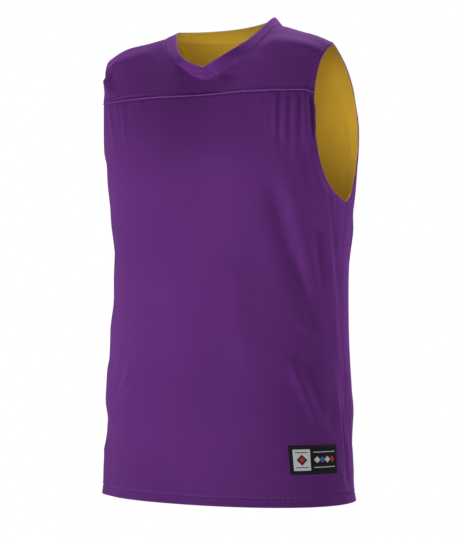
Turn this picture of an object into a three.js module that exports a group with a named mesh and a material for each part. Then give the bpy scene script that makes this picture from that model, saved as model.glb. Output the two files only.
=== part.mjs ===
import * as THREE from 'three';

// Sleeveless basketball jersey with a V neck, filled out as if it were worn. Millimetres, +Z up.
// The front faces -Y and the wearer's left is +X. The outer cloth is purple and the lining gold.
// Heights are counted up from the hem. The origin is midway between the two shoulder seams.

// Driving sizes
const CLOTH = 1.2;
const LINING = 1.0;
const SEAM_GAP = 0.3;
const YOKE_SEAM_GAP = 0.6;
const HEM_TURN = 16;
const HEM_EXTRA = 0.9;
const ARMPIT_HEIGHT = 449;
const YOKE_HEIGHT = 609;
const V_HEIGHT = 636;
const V_SLOPE = 0.47;
const V_CURL = 4.7;
const BACK_NECK_HEIGHT = 711;
const NECK_HALF_WIDTH = 97;
const HOLD_HEIGHT = 702;
const HOLD_DEPTH = -26;

// The shoulder line, which runs over the top from one armhole to the other
const RIDGE_NECK_HEIGHT = 718;
const RIDGE_SLOPE = 0.27;
const RIDGE_ROUNDING = 45;
const TIP_DROP = 0.0045;
const TIP_DROP_START = 150;
const RIDGE_DEPTH = -18;
const RIDGE_SWEEP = 16;

// A level is a height above the hem up to SHOULDER_START. From there the cloth rounds over the
// shoulders, and the level goes on growing until it is RIDGE_LEVEL on the shoulder line.
const SHOULDER_START = 430;
const RIDGE_LEVEL = 800;
const SHOULDER_SEAM_LEVEL = 799.6;
const RIGHT_ANGLE = Math.PI / 2;
const DEGREE = Math.PI / 180;
const SIDE_SEAM_ANGLE = 89.93 * DEGREE;

// Colours
const PURPLE = 0x5c2a70;
const GOLD = 0xb98a2d;
const LABEL_BLACK = 0x1c1a20;

function table(names, rows) {
  return rows.map((row) => Object.fromEntries(names.map((name, index) => [name, row[index]])));
}

// Sections through the body, from the hem up
const RINGS = table(
  ['level', 'halfWidth', 'front', 'back', 'squareness'],
  [
    [0, 202, 130, 124, 2.25],
    [120, 198, 128, 122, 2.25],
    [270, 190, 126, 121, 2.3],
    [400, 193, 127, 120, 2.4],
    [470, 200, 128, 120, 2.55],
    [600, 210, 128, 120, 2.9],
    [800, 214, 128, 120, 3.0],
  ],
);

// Armhole edges from the armpit up to the shoulder, as degrees from the panel's own centre
const FRONT_ARMHOLE = table(
  ['step', 'level', 'degrees'],
  [
    [0, 449, 90],
    [1, 451.5, 84],
    [2, 457, 78],
    [3, 466, 72.2],
    [4, 479, 66.6],
    [5, 497, 61.6],
    [6, 522, 57.5],
    [7, 552, 54.6],
    [8, 587, 52],
    [9, 625, 51.2],
    [10, 665, 52],
    [11, 710, 54],
    [12, 755, 55],
    [13, 799.6, 53.8],
  ],
);
const BACK_ARMHOLE = table(
  ['step', 'level', 'degrees'],
  [
    [0, 449, 90],
    [1, 451, 86.2],
    [2, 457, 83],
    [3, 468, 80.2],
    [4, 485, 76.4],
    [5, 507, 71.8],
    [6, 533, 67],
    [7, 563, 61.8],
    [8, 595, 56.4],
    [9, 630, 53.2],
    [10, 668, 50.9],
    [11, 710, 49.1],
    [12, 755, 50],
    [13, 799.6, 53.8],
  ],
);
const ARMHOLE_STEPS = 13;

// Collar band from the point of the V to the centre back: where its seam lies across, and its rim
const NECK = table(
  ['step', 'seamX', 'rimX', 'rimY', 'rimZ'],
  [
    [0, 0, 0, -83.5, 655],
    [1, 23, 15, -84.5, 661],
    [2, 40, 30, -81, 668.5],
    [3, 55, 45, -71.5, 679],
    [4, 71, 60, -54.5, 692.5],
    [5, 83, 72, -37, 708.5],
    [6, 92, 80, -24, 722],
    [7, 97, 84, -11, 731],
    [8, 91, 80, 5, 733.5],
    [9, 74, 66, 20, 733.5],
    [10, 49, 45, 30.5, 732.5],
    [11, 24, 22, 36, 731.5],
    [12, 0, 0, 37.5, 731],
  ],
);
const NECK_SIDE_STEP = 7;
const NECK_BACK_STEP = 12;
const RIM_TILT = 0.06;
const LAP_REACH = 24;
const LAP_STEPS = 1.3;

// Folds. Girth is mm from the panel's centre, positive to the right as one looks at that panel.
// A positive rise is a ridge and a negative one a trough.
const FOLD_COLUMNS = ['fromGirth', 'fromLevel', 'toGirth', 'toLevel', 'width', 'rise'];
const GATHERS = table(FOLD_COLUMNS, [
  [113, 592, 120, 520, 4.2, 1.7],
  [126, 592, 133, 500, 4.0, 2.0],
  [139, 592, 146, 506, 4.2, 1.7],
  [152, 592, 161, 498, 4.0, 1.9],
  [-147, 592, -131, 512, 4.4, 2.0],
  [-133, 592, -120, 530, 4.2, 1.4],
  [-119, 592, -108, 516, 4.2, 1.7],
]);
const FRONT_FOLDS = table(FOLD_COLUMNS, [
  [114, 490, 192, 255, 15, -5.5],
  [138, 480, 205, 300, 11, 3.0],
  [150, 225, 200, 98, 9, 3.6],
  [170, 225, 214, 108, 10, -2.6],
  [190, 425, 214, 290, 9, -3.8],
  [207, 440, 236, 300, 8, 2.8],
  [221, 440, 250, 290, 8, -3.0],
  [219, 160, 216, 100, 8, -2.6],
  [258, 205, 259, 75, 9, -3.4],
  [-104, 200, -204, 78, 12, 4.2],
  [-122, 205, -222, 95, 10, -3.4],
  [-236, 130, -250, -40, 30, 5.0],
  [-190, 420, -220, 300, 11, -3.0],
  [-150, 480, -205, 330, 14, -3.2],
  [-158, 680, -122, 600, 9, -2.4],
  [-166, 660, -140, 600, 8, 1.8],
  [26, 650, 84, 606, 13, -2.6],
  [-40, 330, -70, 120, 22, -2.4],
  [60, 380, 92, 180, 20, 2.2],
]);
const BACK_FOLDS = table(FOLD_COLUMNS, [
  [-196, 470, -120, 300, 15, -4.6],
  [-212, 440, -150, 280, 11, 3.0],
  [192, 476, 118, 290, 15, -4.8],
  [210, 452, 150, 300, 11, 2.8],
  [-60, 420, -48, 150, 18, -3.0],
  [34, 400, 52, 120, 20, -2.8],
  [-6, 330, 4, 90, 16, 2.4],
  [-168, 210, -214, 80, 10, 3.2],
  [176, 230, 222, 90, 11, -3.0],
  [-128, 590, -60, 520, 16, -2.4],
  [126, 600, 62, 524, 16, -2.2],
  [-150, 690, -122, 610, 10, -2.0],
  [150, 700, 120, 620, 10, -2.0],
]);
const FOLD_START = 0.22;
const FOLD_END = 0.4;

// Label by the hem on the wearer's left
const LABEL = { fromGirth: 146, toGirth: 224, bottom: 48, top: 90, lift: 0.5, thickness: 1.0 };

const clamp = THREE.MathUtils.clamp;
const lerp = THREE.MathUtils.lerp;

function smooth(value) {
  return THREE.MathUtils.smoothstep(value, 0, 1);
}

// A smooth curve through one column of a table
function curve(rows, key, column) {
  const last = rows.length - 1;
  const slopes = rows.map((row, index) => {
    const before = rows[Math.max(index - 1, 0)];
    const after = rows[Math.min(index + 1, last)];
    const back = row[key] - before[key];
    const ahead = after[key] - row[key];
    if (back === 0 || ahead === 0) {
      return (after[column] - before[column]) / (after[key] - before[key]);
    }
    const slopeBack = (row[column] - before[column]) / back;
    const slopeAhead = (after[column] - row[column]) / ahead;
    return (slopeBack * ahead + slopeAhead * back) / (back + ahead);
  });
  return (value) => {
    const at = clamp(value, rows[0][key], rows[last][key]);
    let index = 0;
    while (index < last - 1 && rows[index + 1][key] <= at) {
      index += 1;
    }
    const from = rows[index];
    const to = rows[index + 1];
    const span = to[key] - from[key];
    const t = (at - from[key]) / span;
    const t2 = t * t;
    const t3 = t2 * t;
    return (2 * t3 - 3 * t2 + 1) * from[column] + (t3 - 2 * t2 + t) * span * slopes[index]
      + (3 * t2 - 2 * t3) * to[column] + (t3 - t2) * span * slopes[index + 1];
  };
}

const halfWidthAt = curve(RINGS, 'level', 'halfWidth');
const frontDepthAt = curve(RINGS, 'level', 'front');
const backDepthAt = curve(RINGS, 'level', 'back');
const squarenessAt = curve(RINGS, 'level', 'squareness');

function ridgeHeight(x) {
  const reach = Math.hypot(x, RIDGE_ROUNDING);
  const drop = Math.max(0, Math.abs(x) - TIP_DROP_START);
  return RIDGE_NECK_HEIGHT - RIDGE_SLOPE * (reach - NECK_HALF_WIDTH) - TIP_DROP * drop * drop;
}

function ridgeDepth(x) {
  return RIDGE_DEPTH - RIDGE_SWEEP * clamp((Math.abs(x) - 90) / 100, 0, 1.2);
}

// How full the cloth stands between chest and shoulder line: flatter at the centre front
function fullness(x, isFront) {
  const outward = smooth(Math.abs(x) / 185);
  return isFront ? 1.45 + 0.9 * outward : 2.15 + 0.2 * outward;
}

// Rounded corner between two unit legs, as [first leg, second leg]
function rounded(first, second, power) {
  const reach = (Math.abs(first) ** power + Math.abs(second) ** power) ** (1 / power);
  return [first / reach, second / reach];
}

// The angle goes round from 0 at the centre front through 90 degrees at the wearer's left side
function bodyPoint(angle, level) {
  const squareness = squarenessAt(level);
  const [across, ahead] = rounded(Math.sin(angle), Math.cos(angle), squareness);
  const isFront = ahead > 0;
  const x = halfWidthAt(level) * across;
  const depth = isFront ? frontDepthAt(level) : backDepthAt(level);
  if (level <= SHOULDER_START) {
    return new THREE.Vector3(x, -depth * ahead, level);
  }
  const turn = clamp((level - SHOULDER_START) / (RIDGE_LEVEL - SHOULDER_START), 0, 1) * RIGHT_ANGLE;
  const [rise, run] = rounded(Math.sin(turn), Math.cos(turn), fullness(x, isFront));
  const y = ridgeDepth(x) * (1 - run) - depth * ahead * run;
  return new THREE.Vector3(x, y, SHOULDER_START + (ridgeHeight(x) - SHOULDER_START) * rise);
}

function normalTo(pointAt, first, second, firstStep, secondStep, secondMost) {
  const high = Math.min(second + secondStep, secondMost);
  const along = pointAt(first + firstStep, second).sub(pointAt(first - firstStep, second));
  const up = pointAt(first, high).sub(pointAt(first, second - secondStep));
  return along.cross(up).normalize();
}

// Girth round the waist from the centre front, one entry a degree
const GIRTHS = [0];
for (let degree = 1; degree <= 360; degree += 1) {
  const from = bodyPoint((degree - 1) * DEGREE, 300);
  GIRTHS.push(GIRTHS[degree - 1] + from.distanceTo(bodyPoint(degree * DEGREE, 300)));
}
const FULL_GIRTH = GIRTHS[360];
const BACK_CENTRE_GIRTH = GIRTHS[180];

function girthAt(angle) {
  const degrees = THREE.MathUtils.euclideanModulo(angle / DEGREE, 360);
  const whole = Math.floor(degrees);
  return lerp(GIRTHS[whole], GIRTHS[Math.min(whole + 1, 360)], degrees - whole);
}

function angleAtGirth(girth) {
  let degree = 0;
  while (GIRTHS[degree + 1] < girth) {
    degree += 1;
  }
  const part = (girth - GIRTHS[degree]) / (GIRTHS[degree + 1] - GIRTHS[degree]);
  return (degree + part) * DEGREE;
}

function foldRise(fold, centreGirth, girth, level) {
  const turns = Math.round((girth - centreGirth - fold.fromGirth) / FULL_GIRTH);
  const across = girth - centreGirth - fold.fromGirth - turns * FULL_GIRTH;
  const up = level - fold.fromLevel;
  const runGirth = fold.toGirth - fold.fromGirth;
  const runLevel = fold.toLevel - fold.fromLevel;
  const length = Math.hypot(runGirth, runLevel);
  const along = (across * runGirth + up * runLevel) / (length * length);
  if (along <= 0 || along >= 1) {
    return 0;
  }
  const aside = (across * runLevel - up * runGirth) / length;
  const fade = smooth(along / FOLD_START) * smooth((1 - along) / FOLD_END);
  return fold.rise * fade * Math.exp(-((aside / fold.width) ** 2));
}

function foldedPoint(angle, level, hasGathers) {
  const point = bodyPoint(angle, level);
  const girth = girthAt(angle);
  let rise = 0;
  FRONT_FOLDS.forEach((fold) => { rise += foldRise(fold, 0, girth, level); });
  BACK_FOLDS.forEach((fold) => { rise += foldRise(fold, BACK_CENTRE_GIRTH, girth, level); });
  if (hasGathers) {
    GATHERS.forEach((fold) => { rise += foldRise(fold, 0, girth, level); });
  }
  if (rise === 0) {
    return point;
  }
  return point.addScaledVector(normalTo(bodyPoint, angle, level, 0.01, 0.5, RIDGE_LEVEL), rise);
}

// A point of the cloth, moved out along its normal
function clothPoint(angle, level, lift, hasGathers) {
  const pointAt = (a, l) => foldedPoint(a, l, hasGathers);
  const normal = normalTo(pointAt, angle, level, 0.005, 0.4, RIDGE_LEVEL);
  return pointAt(angle, level).addScaledVector(normal, lift);
}

// The level at which the line of one angle reaches a height
function levelAtHeight(angle, height) {
  let low = SHOULDER_START;
  let high = RIDGE_LEVEL;
  for (let pass = 0; pass < 40; pass += 1) {
    const middle = (low + high) / 2;
    if (bodyPoint(angle, middle).z < height) {
      low = middle;
    } else {
      high = middle;
    }
  }
  return low;
}

// The angle from the panel's centre and the level of a point given by its x and height
function placeOf(x, height, isFront) {
  const power = fullness(x, isFront);
  const rise = clamp((height - SHOULDER_START) / (ridgeHeight(x) - SHOULDER_START), 0, 1);
  const run = (1 - rise ** power) ** (1 / power);
  const turn = Math.atan2(rise, run) / RIGHT_ANGLE;
  const level = Math.min(lerp(SHOULDER_START, RIDGE_LEVEL, turn), SHOULDER_SEAM_LEVEL);
  const across = Math.abs(x) / halfWidthAt(level);
  const ahead = (1 - across ** squarenessAt(level)) ** (1 / squarenessAt(level));
  return { angle: Math.atan2(across, ahead), level };
}

function frontNeckHeight(x) {
  const curl = ridgeHeight(NECK_HALF_WIDTH) - V_HEIGHT - V_SLOPE * NECK_HALF_WIDTH;
  return V_HEIGHT + V_SLOPE * Math.abs(x) + curl * (Math.abs(x) / NECK_HALF_WIDTH) ** V_CURL;
}

function backNeckHeight(x) {
  const rise = ridgeHeight(NECK_HALF_WIDTH) - BACK_NECK_HEIGHT;
  return BACK_NECK_HEIGHT + rise * (x / NECK_HALF_WIDTH) ** 2;
}

const seamX = curve(NECK, 'step', 'seamX');

// Armhole edges by step
const ARMHOLES = [FRONT_ARMHOLE, BACK_ARMHOLE].map((rows) => ({
  level: curve(rows, 'step', 'level'),
  degrees: curve(rows, 'step', 'degrees'),
}));
const [FRONT_EDGE, BACK_EDGE] = ARMHOLES;

function edgeAngle(edge, step) {
  return Math.min(edge.degrees(step) * DEGREE, SIDE_SEAM_ANGLE);
}

// The step on the front armhole where the yoke seam ends
function yokeStep() {
  let low = 0;
  let high = ARMHOLE_STEPS;
  for (let pass = 0; pass < 40; pass += 1) {
    const middle = (low + high) / 2;
    const height = bodyPoint(edgeAngle(FRONT_EDGE, middle), FRONT_EDGE.level(middle)).z;
    if (height < YOKE_HEIGHT) {
      low = middle;
    } else {
      high = middle;
    }
  }
  return low;
}
const YOKE_STEP = yokeStep();

// A panel is laid out by u, from -1 to 1 across it, and v, from 0 to 1 up it. Its two sides
// follow sideAt(v), and its bottom and top edges follow bottomAt(u) and topAt(u). Between the two
// values of shift its columns move across to where they meet the top edge; the front's need not.
const SIDE_PULL = 3;
const TIP_PULL = 6;
const NECK_U = 0.52;

function panelPlace(panel, u, v) {
  const side = panel.sideAt(v);
  const top = panel.topAt(u);
  const bottomLevel = panel.bottomAt(u);
  const sideTop = panel.topAt(1).level;
  const sideBottom = panel.bottomAt(1);
  const sideShare = clamp((side.level - sideBottom) / (sideTop - sideBottom), 0, 1);
  const share = lerp(v, sideShare, Math.abs(u) ** SIDE_PULL);
  const tipShift = (side.angle - panel.topAt(1).angle) * Math.abs(u) ** TIP_PULL;
  const [shiftStart, shiftEnd] = panel.shift;
  const shift = smooth((v - shiftStart) / (shiftEnd - shiftStart));
  return {
    angle: lerp(u * side.angle, Math.sign(u) * (top.angle + tipShift), shift),
    level: lerp(bottomLevel, top.level, share),
  };
}

const ARMPIT_V = 0.6;

function bodySide(edge, lastStep) {
  return (v) => {
    if (v <= ARMPIT_V) {
      return { level: ARMPIT_HEIGHT * v / ARMPIT_V, angle: SIDE_SEAM_ANGLE };
    }
    const step = lastStep * (v - ARMPIT_V) / (1 - ARMPIT_V);
    return { level: edge.level(step), angle: edgeAngle(edge, step) };
  };
}

function shoulderAndNeck(neckHeight, isFront, centreStep) {
  const tip = edgeAngle(FRONT_EDGE, ARMHOLE_STEPS);
  const neck = placeOf(NECK_HALF_WIDTH, ridgeHeight(NECK_HALF_WIDTH), isFront);
  return (u) => {
    const across = Math.abs(u);
    if (across >= NECK_U) {
      const share = (across - NECK_U) / (1 - NECK_U);
      return { angle: lerp(neck.angle, tip, share), level: SHOULDER_SEAM_LEVEL };
    }
    const x = seamX(lerp(centreStep, NECK_SIDE_STEP, across / NECK_U));
    return placeOf(x, neckHeight(x), isFront);
  };
}

function yokeLine(height) {
  return (u) => {
    const angle = Math.abs(u) * edgeAngle(FRONT_EDGE, YOKE_STEP);
    return { angle, level: levelAtHeight(angle, height) };
  };
}

const FRONT = {
  centre: 0,
  shift: [1, 2],
  sideAt: bodySide(FRONT_EDGE, YOKE_STEP),
  bottomAt: () => 0,
  topAt: yokeLine(YOKE_HEIGHT - YOKE_SEAM_GAP / 2),
};
const YOKE = {
  centre: 0,
  shift: [0, 0.85],
  sideAt: (v) => {
    const step = lerp(YOKE_STEP, ARMHOLE_STEPS, v);
    return { level: FRONT_EDGE.level(step), angle: edgeAngle(FRONT_EDGE, step) };
  },
  bottomAt: (u) => yokeLine(YOKE_HEIGHT + YOKE_SEAM_GAP / 2)(u).level,
  topAt: shoulderAndNeck(frontNeckHeight, true, 0),
};
const BACK = {
  centre: Math.PI,
  shift: [0.6, 0.92],
  sideAt: bodySide(BACK_EDGE, ARMHOLE_STEPS),
  bottomAt: () => 0,
  topAt: shoulderAndNeck(backNeckHeight, false, NECK_BACK_STEP),
};

// A closed wall: an outer and an inner skin joined along its four edges
function wall(columns, rows, pointAt) {
  const positions = [];
  const indices = [];
  const width = columns.length;
  const height = rows.length;
  const skin = width * height;
  for (let face = 0; face < 2; face += 1) {
    rows.forEach((v) => {
      columns.forEach((u) => {
        const point = pointAt(u, v, face);
        positions.push(point.x, point.y - HOLD_DEPTH, point.z - HOLD_HEIGHT);
      });
    });
  }
  const quad = (a, b, c, d) => indices.push(a, b, c, a, c, d);
  for (let row = 0; row < height - 1; row += 1) {
    for (let column = 0; column < width - 1; column += 1) {
      const at = row * width + column;
      quad(at, at + 1, at + width + 1, at + width);
      quad(skin + at, skin + at + width, skin + at + width + 1, skin + at + 1);
    }
  }
  const topRow = (height - 1) * width;
  for (let column = 0; column < width - 1; column += 1) {
    quad(column, skin + column, skin + column + 1, column + 1);
    quad(topRow + column, topRow + column + 1, skin + topRow + column + 1, skin + topRow + column);
  }
  for (let row = 0; row < height - 1; row += 1) {
    const left = row * width;
    const right = left + width - 1;
    quad(left, left + width, skin + left + width, skin + left);
    quad(right, skin + right, skin + right + width, right + width);
  }
  const geometry = new THREE.BufferGeometry();
  geometry.setAttribute('position', new THREE.Float32BufferAttribute(positions, 3));
  geometry.setIndex(indices);
  geometry.computeVertexNormals();
  return geometry;
}

function panelWall(panel, columns, rows, liftsAt, hasGathers) {
  return wall(columns, rows, (u, v, face) => {
    const place = panelPlace(panel, u, v);
    const lift = liftsAt(u, v, place.level)[face];
    return clothPoint(panel.centre + place.angle, place.level, lift, hasGathers);
  });
}

function evenSteps(count, from, to) {
  return Array.from({ length: count + 1 }, (unused, index) => lerp(from, to, index / count));
}

// Half a row of columns, mirrored so that it runs from -1 to 1
function mirrored(half) {
  const left = half.slice(1).reverse().map((value) => -value);
  return [...left, ...half];
}

// Outer panels
const GATHER_START = 0.4;
const GATHER_END = 0.66;
const FRONT_COLUMNS = mirrored([
  ...evenSteps(6, 0, GATHER_START),
  ...evenSteps(12, GATHER_START, GATHER_END).slice(1),
  ...evenSteps(7, GATHER_END, 1).slice(1),
]);
const HEM_ROWS = [0, 1, 1.08].map((share) => share * HEM_TURN * ARMPIT_V / ARMPIT_HEIGHT);
const BODY_ROWS = evenSteps(10, 0, ARMPIT_V).slice(1);
const CHEST_ROWS = evenSteps(8, ARMPIT_V, 1).slice(1);
const FRONT_ROWS = [...HEM_ROWS, ...BODY_ROWS, ...CHEST_ROWS];
const YOKE_COLUMNS = mirrored([...evenSteps(14, 0, NECK_U), ...evenSteps(6, NECK_U, 1).slice(1)]);
const YOKE_ROWS = [0, 0.03, ...evenSteps(7, 0, 1).slice(1)];
const SIDE_COLUMNS = [0.62, 0.71, 0.8, 0.88, 0.94, 1];
const BACK_COLUMNS = mirrored([...evenSteps(10, 0, NECK_U), ...SIDE_COLUMNS]);
const SHOULDER_ROWS = evenSteps(9, ARMPIT_V, 1).slice(1);
const BACK_ROWS = [...HEM_ROWS, ...BODY_ROWS, ...SHOULDER_ROWS];

function outerLifts(u, v, level) {
  return [0, level < HEM_TURN * 1.04 ? -CLOTH - HEM_EXTRA : -CLOTH];
}

// The yoke's lower edge is turned under and stands a little proud of the front
const YOKE_FOLD = 0.6;

function yokeLifts(u, v) {
  const proud = YOKE_FOLD * (1 - smooth(v / 0.1));
  return [proud, -CLOTH];
}

// The lining meets the outer cloth at its edges and hangs clear of it between them
const LINING_CLEARANCE = 6;
const LINING_GAP = 0.45;
const NECK_EASE = 0.6;
const LINING_FRONT_COLUMNS = mirrored([...evenSteps(7, 0, NECK_U), ...SIDE_COLUMNS]);
const LINING_BACK_COLUMNS = mirrored([...evenSteps(5, 0, NECK_U), ...SIDE_COLUMNS]);
const LINING_HEM = 20;

function liningLifts(u, v) {
  const inside = smooth((1 - Math.abs(u)) / 0.25) * smooth((1 - v) / 0.12);
  const ease = NECK_EASE * smooth((v - 0.8) / 0.2);
  const outer = -CLOTH - LINING_GAP - ease - LINING_CLEARANCE * inside;
  return [outer, outer - LINING];
}

const LINING_BACK = { ...BACK, bottomAt: () => LINING_HEM };
const LINING_BODY_ROWS = [LINING_HEM * ARMPIT_V / ARMPIT_HEIGHT, ...BODY_ROWS];
const LINING_BACK_ROWS = [...LINING_BODY_ROWS, ...SHOULDER_ROWS];

// The front lining is one piece from hem to shoulder, laid out over the front and the yoke
const FRONT_SHARE = 0.7;
const LINING_FRONT_ROWS = [
  ...[...LINING_BODY_ROWS, ...CHEST_ROWS].map((v) => v * FRONT_SHARE),
  ...YOKE_ROWS.slice(2).map((v) => lerp(FRONT_SHARE, 1, v)),
];

function liningFront() {
  return wall(LINING_FRONT_COLUMNS, LINING_FRONT_ROWS, (u, v, face) => {
    const isYoke = v > FRONT_SHARE;
    const panel = isYoke ? YOKE : FRONT;
    const within = isYoke ? (v - FRONT_SHARE) / (1 - FRONT_SHARE) : v / FRONT_SHARE;
    const place = panelPlace(panel, u, within);
    return clothPoint(place.angle, place.level, liningLifts(u, v)[face], false);
  });
}

// Collar band. The step runs from the V up the wearer's left, round the back and down to the V
// again, and then on over the lap, where the wearer's right end crosses the left one.
const BAND_PROUD = 0.6;
const BAND_START = 0.025;
const BAND_END = 2 * NECK_BACK_STEP;
const rimX = curve(NECK, 'step', 'rimX');
const rimY = curve(NECK, 'step', 'rimY');
const rimZ = curve(NECK, 'step', 'rimZ');

function neckSeamPoint(x, isFront) {
  const height = isFront ? frontNeckHeight(x) : backNeckHeight(x);
  const place = placeOf(x, height, isFront);
  const point = bodyPoint(isFront ? place.angle : Math.PI - place.angle, place.level);
  point.x *= Math.sign(x) || 1;
  return point;
}

function bandPoint(step, share) {
  if (step > BAND_END) {
    const reach = step - BAND_END;
    const seam = neckSeamPoint(2 * reach, true);
    const rim = bandPoint(BAND_END, 1).lerp(neckSeamPoint(LAP_REACH, true), reach);
    return seam.lerp(rim, share);
  }
  const isLeft = step <= NECK_BACK_STEP;
  const at = isLeft ? step : BAND_END - step;
  const side = isLeft ? 1 : -1;
  const seam = neckSeamPoint(side * seamX(at), at <= NECK_SIDE_STEP);
  const rim = new THREE.Vector3(side * rimX(at), rimY(at), rimZ(at));
  rim.z += RIM_TILT * rim.x;
  return seam.lerp(rim, share);
}

function bandWall(steps, lifts, lapAt) {
  return wall(steps, evenSteps(3, BAND_START, 1), (step, share, face) => {
    const normal = normalTo(bandPoint, step, share, 0.01, 0.05, 1.1);
    return bandPoint(step, share).addScaledVector(normal, lifts[face] + lapAt(step));
  });
}

const BAND_STEPS = [0.02, ...evenSteps(48, 0, BAND_END).slice(1)];

function lapRise(step) {
  return (CLOTH + SEAM_GAP) * smooth((step - BAND_END + LAP_STEPS) / LAP_STEPS);
}

function neckBand() {
  return bandWall([...BAND_STEPS, BAND_END + 0.5, BAND_END + 1], [BAND_PROUD, BAND_PROUD - CLOTH], lapRise);
}

function liningBand() {
  const outer = BAND_PROUD - CLOTH - SEAM_GAP;
  return bandWall([...BAND_STEPS.slice(0, -1), BAND_END - 0.02], [outer, outer - LINING], () => 0);
}

// The label follows the front panel's own surface
function hemLabel() {
  return wall(evenSteps(10, LABEL.fromGirth, LABEL.toGirth), evenSteps(4, LABEL.bottom, LABEL.top),
    (girth, level, face) => {
      const lift = LABEL.lift + (face === 0 ? LABEL.thickness : 0);
      return clothPoint(angleAtGirth(girth), level, lift, true);
    });
}

const purple = new THREE.MeshStandardMaterial({ color: PURPLE, roughness: 0.55, metalness: 0 });
const gold = new THREE.MeshStandardMaterial({ color: GOLD, roughness: 0.7, metalness: 0 });
const black = new THREE.MeshStandardMaterial({ color: LABEL_BLACK, roughness: 0.8, metalness: 0 });

const PIECES = [
  ['front_panel', purple, () => panelWall(FRONT, FRONT_COLUMNS, FRONT_ROWS, outerLifts, true)],
  ['front_yoke', purple, () => panelWall(YOKE, YOKE_COLUMNS, YOKE_ROWS, yokeLifts, true)],
  ['back_panel', purple, () => panelWall(BACK, BACK_COLUMNS, BACK_ROWS, outerLifts, true)],
  ['neck_band', purple, neckBand],
  ['lining_front', gold, liningFront],
  ['lining_back', gold, () => panelWall(LINING_BACK, LINING_BACK_COLUMNS, LINING_BACK_ROWS, liningLifts, false)],
  ['lining_neck_band', gold, liningBand],
  ['hem_label', black, hemLabel],
];

const jersey = new THREE.Group();
PIECES.forEach(([name, material, make]) => {
  const mesh = new THREE.Mesh(make(), material.clone());
  mesh.name = name;
  jersey.add(mesh);
});

export default jersey;
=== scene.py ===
"""Looks of a sleeveless reversible basketball jersey with a lapped V neck, filled out as if worn.

The cloth is worked out in millimetres from the same sizes as its solids, and goes into the meshes in
metres. The front faces -Y, the wearer's left is +X, and heights are counted up from the hem.
"""

import math

import bmesh
import bpy
import numpy as np
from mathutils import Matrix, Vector


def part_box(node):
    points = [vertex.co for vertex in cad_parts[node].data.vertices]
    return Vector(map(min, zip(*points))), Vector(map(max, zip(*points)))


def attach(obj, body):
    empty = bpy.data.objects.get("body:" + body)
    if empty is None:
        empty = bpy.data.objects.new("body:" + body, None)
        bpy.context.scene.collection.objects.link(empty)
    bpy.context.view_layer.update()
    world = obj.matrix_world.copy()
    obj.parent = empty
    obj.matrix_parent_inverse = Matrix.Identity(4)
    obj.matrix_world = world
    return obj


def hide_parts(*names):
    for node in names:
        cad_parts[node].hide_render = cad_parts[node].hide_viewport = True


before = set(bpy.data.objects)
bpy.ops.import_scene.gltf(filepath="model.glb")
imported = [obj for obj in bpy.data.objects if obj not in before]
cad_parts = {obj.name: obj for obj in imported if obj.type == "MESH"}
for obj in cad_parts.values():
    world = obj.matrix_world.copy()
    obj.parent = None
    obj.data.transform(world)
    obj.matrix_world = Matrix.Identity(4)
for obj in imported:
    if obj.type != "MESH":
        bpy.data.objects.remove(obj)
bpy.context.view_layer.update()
bpy.ops.object.select_all(action="DESELECT")

MM = 0.001
DEGREE = math.pi / 180

# Places taken from the frame
HEM_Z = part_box("front_panel")[0].z / MM
HOLD_DEPTH = -26
ARMPIT_HEIGHT = 449
YOKE_HEIGHT = 609
V_HEIGHT = 636
V_SLOPE = 0.47
V_CURL = 4.7
V_ROUNDING = 5.0
BACK_NECK_HEIGHT = 711
NECK_HALF_WIDTH = 97

# The shoulder line
RIDGE_NECK_HEIGHT = 718
RIDGE_SLOPE = 0.27
RIDGE_ROUNDING = 45
TIP_DROP = 0.0045
TIP_DROP_START = 150
RIDGE_DEPTH = -18
RIDGE_SWEEP = 16
SHOULDER_START = 430
RIDGE_LEVEL = 800
SHOULDER_SEAM_LEVEL = 799.9
SIDE_SEAM_ANGLE = 90.01 * DEGREE

# Cloth and sewing
KNIT = 0.5
LINING_DEPTH = 1.65
LINING_CLEARANCE = 6
LINING_SLACK = 0.5
EDGE_CLEARANCE = 0.25
# How far each cloth is pulled over the shoulder seam, which closes it
SHOULDER_LAP = 0.35
NECK_EASE = 1.0
LINING_HEM = 20
HEM_TURN = 13.5
HEM_FLARE = 1.5
HEM_INSIDE = -1.6
ARMHOLE_STITCH = 5.5
COLLAR_STITCH = 2.2
YOKE_STITCH = 2.4
ARMHOLE_ROLL = 5.5
RIGHT_ROLL_SHARE = 0.12
STITCH_PITCH = 3.1
STITCH_LENGTH = 2.5
THREAD = 0.42
# How far a thread's middle stands off the cloth, as a share of its thickness
THREAD_PROUD = 0.3
SIDES = (-1, 1)


def table(names, rows):
    """Rows of numbers as named columns."""
    return {name: np.array(column, float) for name, column in zip(names, zip(*rows))}


# Sections through the body, from the hem up
RINGS = table(
    ["level", "half_width", "front", "back", "squareness"],
    [
        [0, 202, 130, 124, 2.25],
        [120, 198, 128, 122, 2.25],
        [270, 190, 126, 121, 2.3],
        [400, 193, 127, 120, 2.4],
        [470, 200, 128, 120, 2.55],
        [600, 210, 128, 120, 2.9],
        [800, 214, 128, 120, 3.0],
    ],
)

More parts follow.
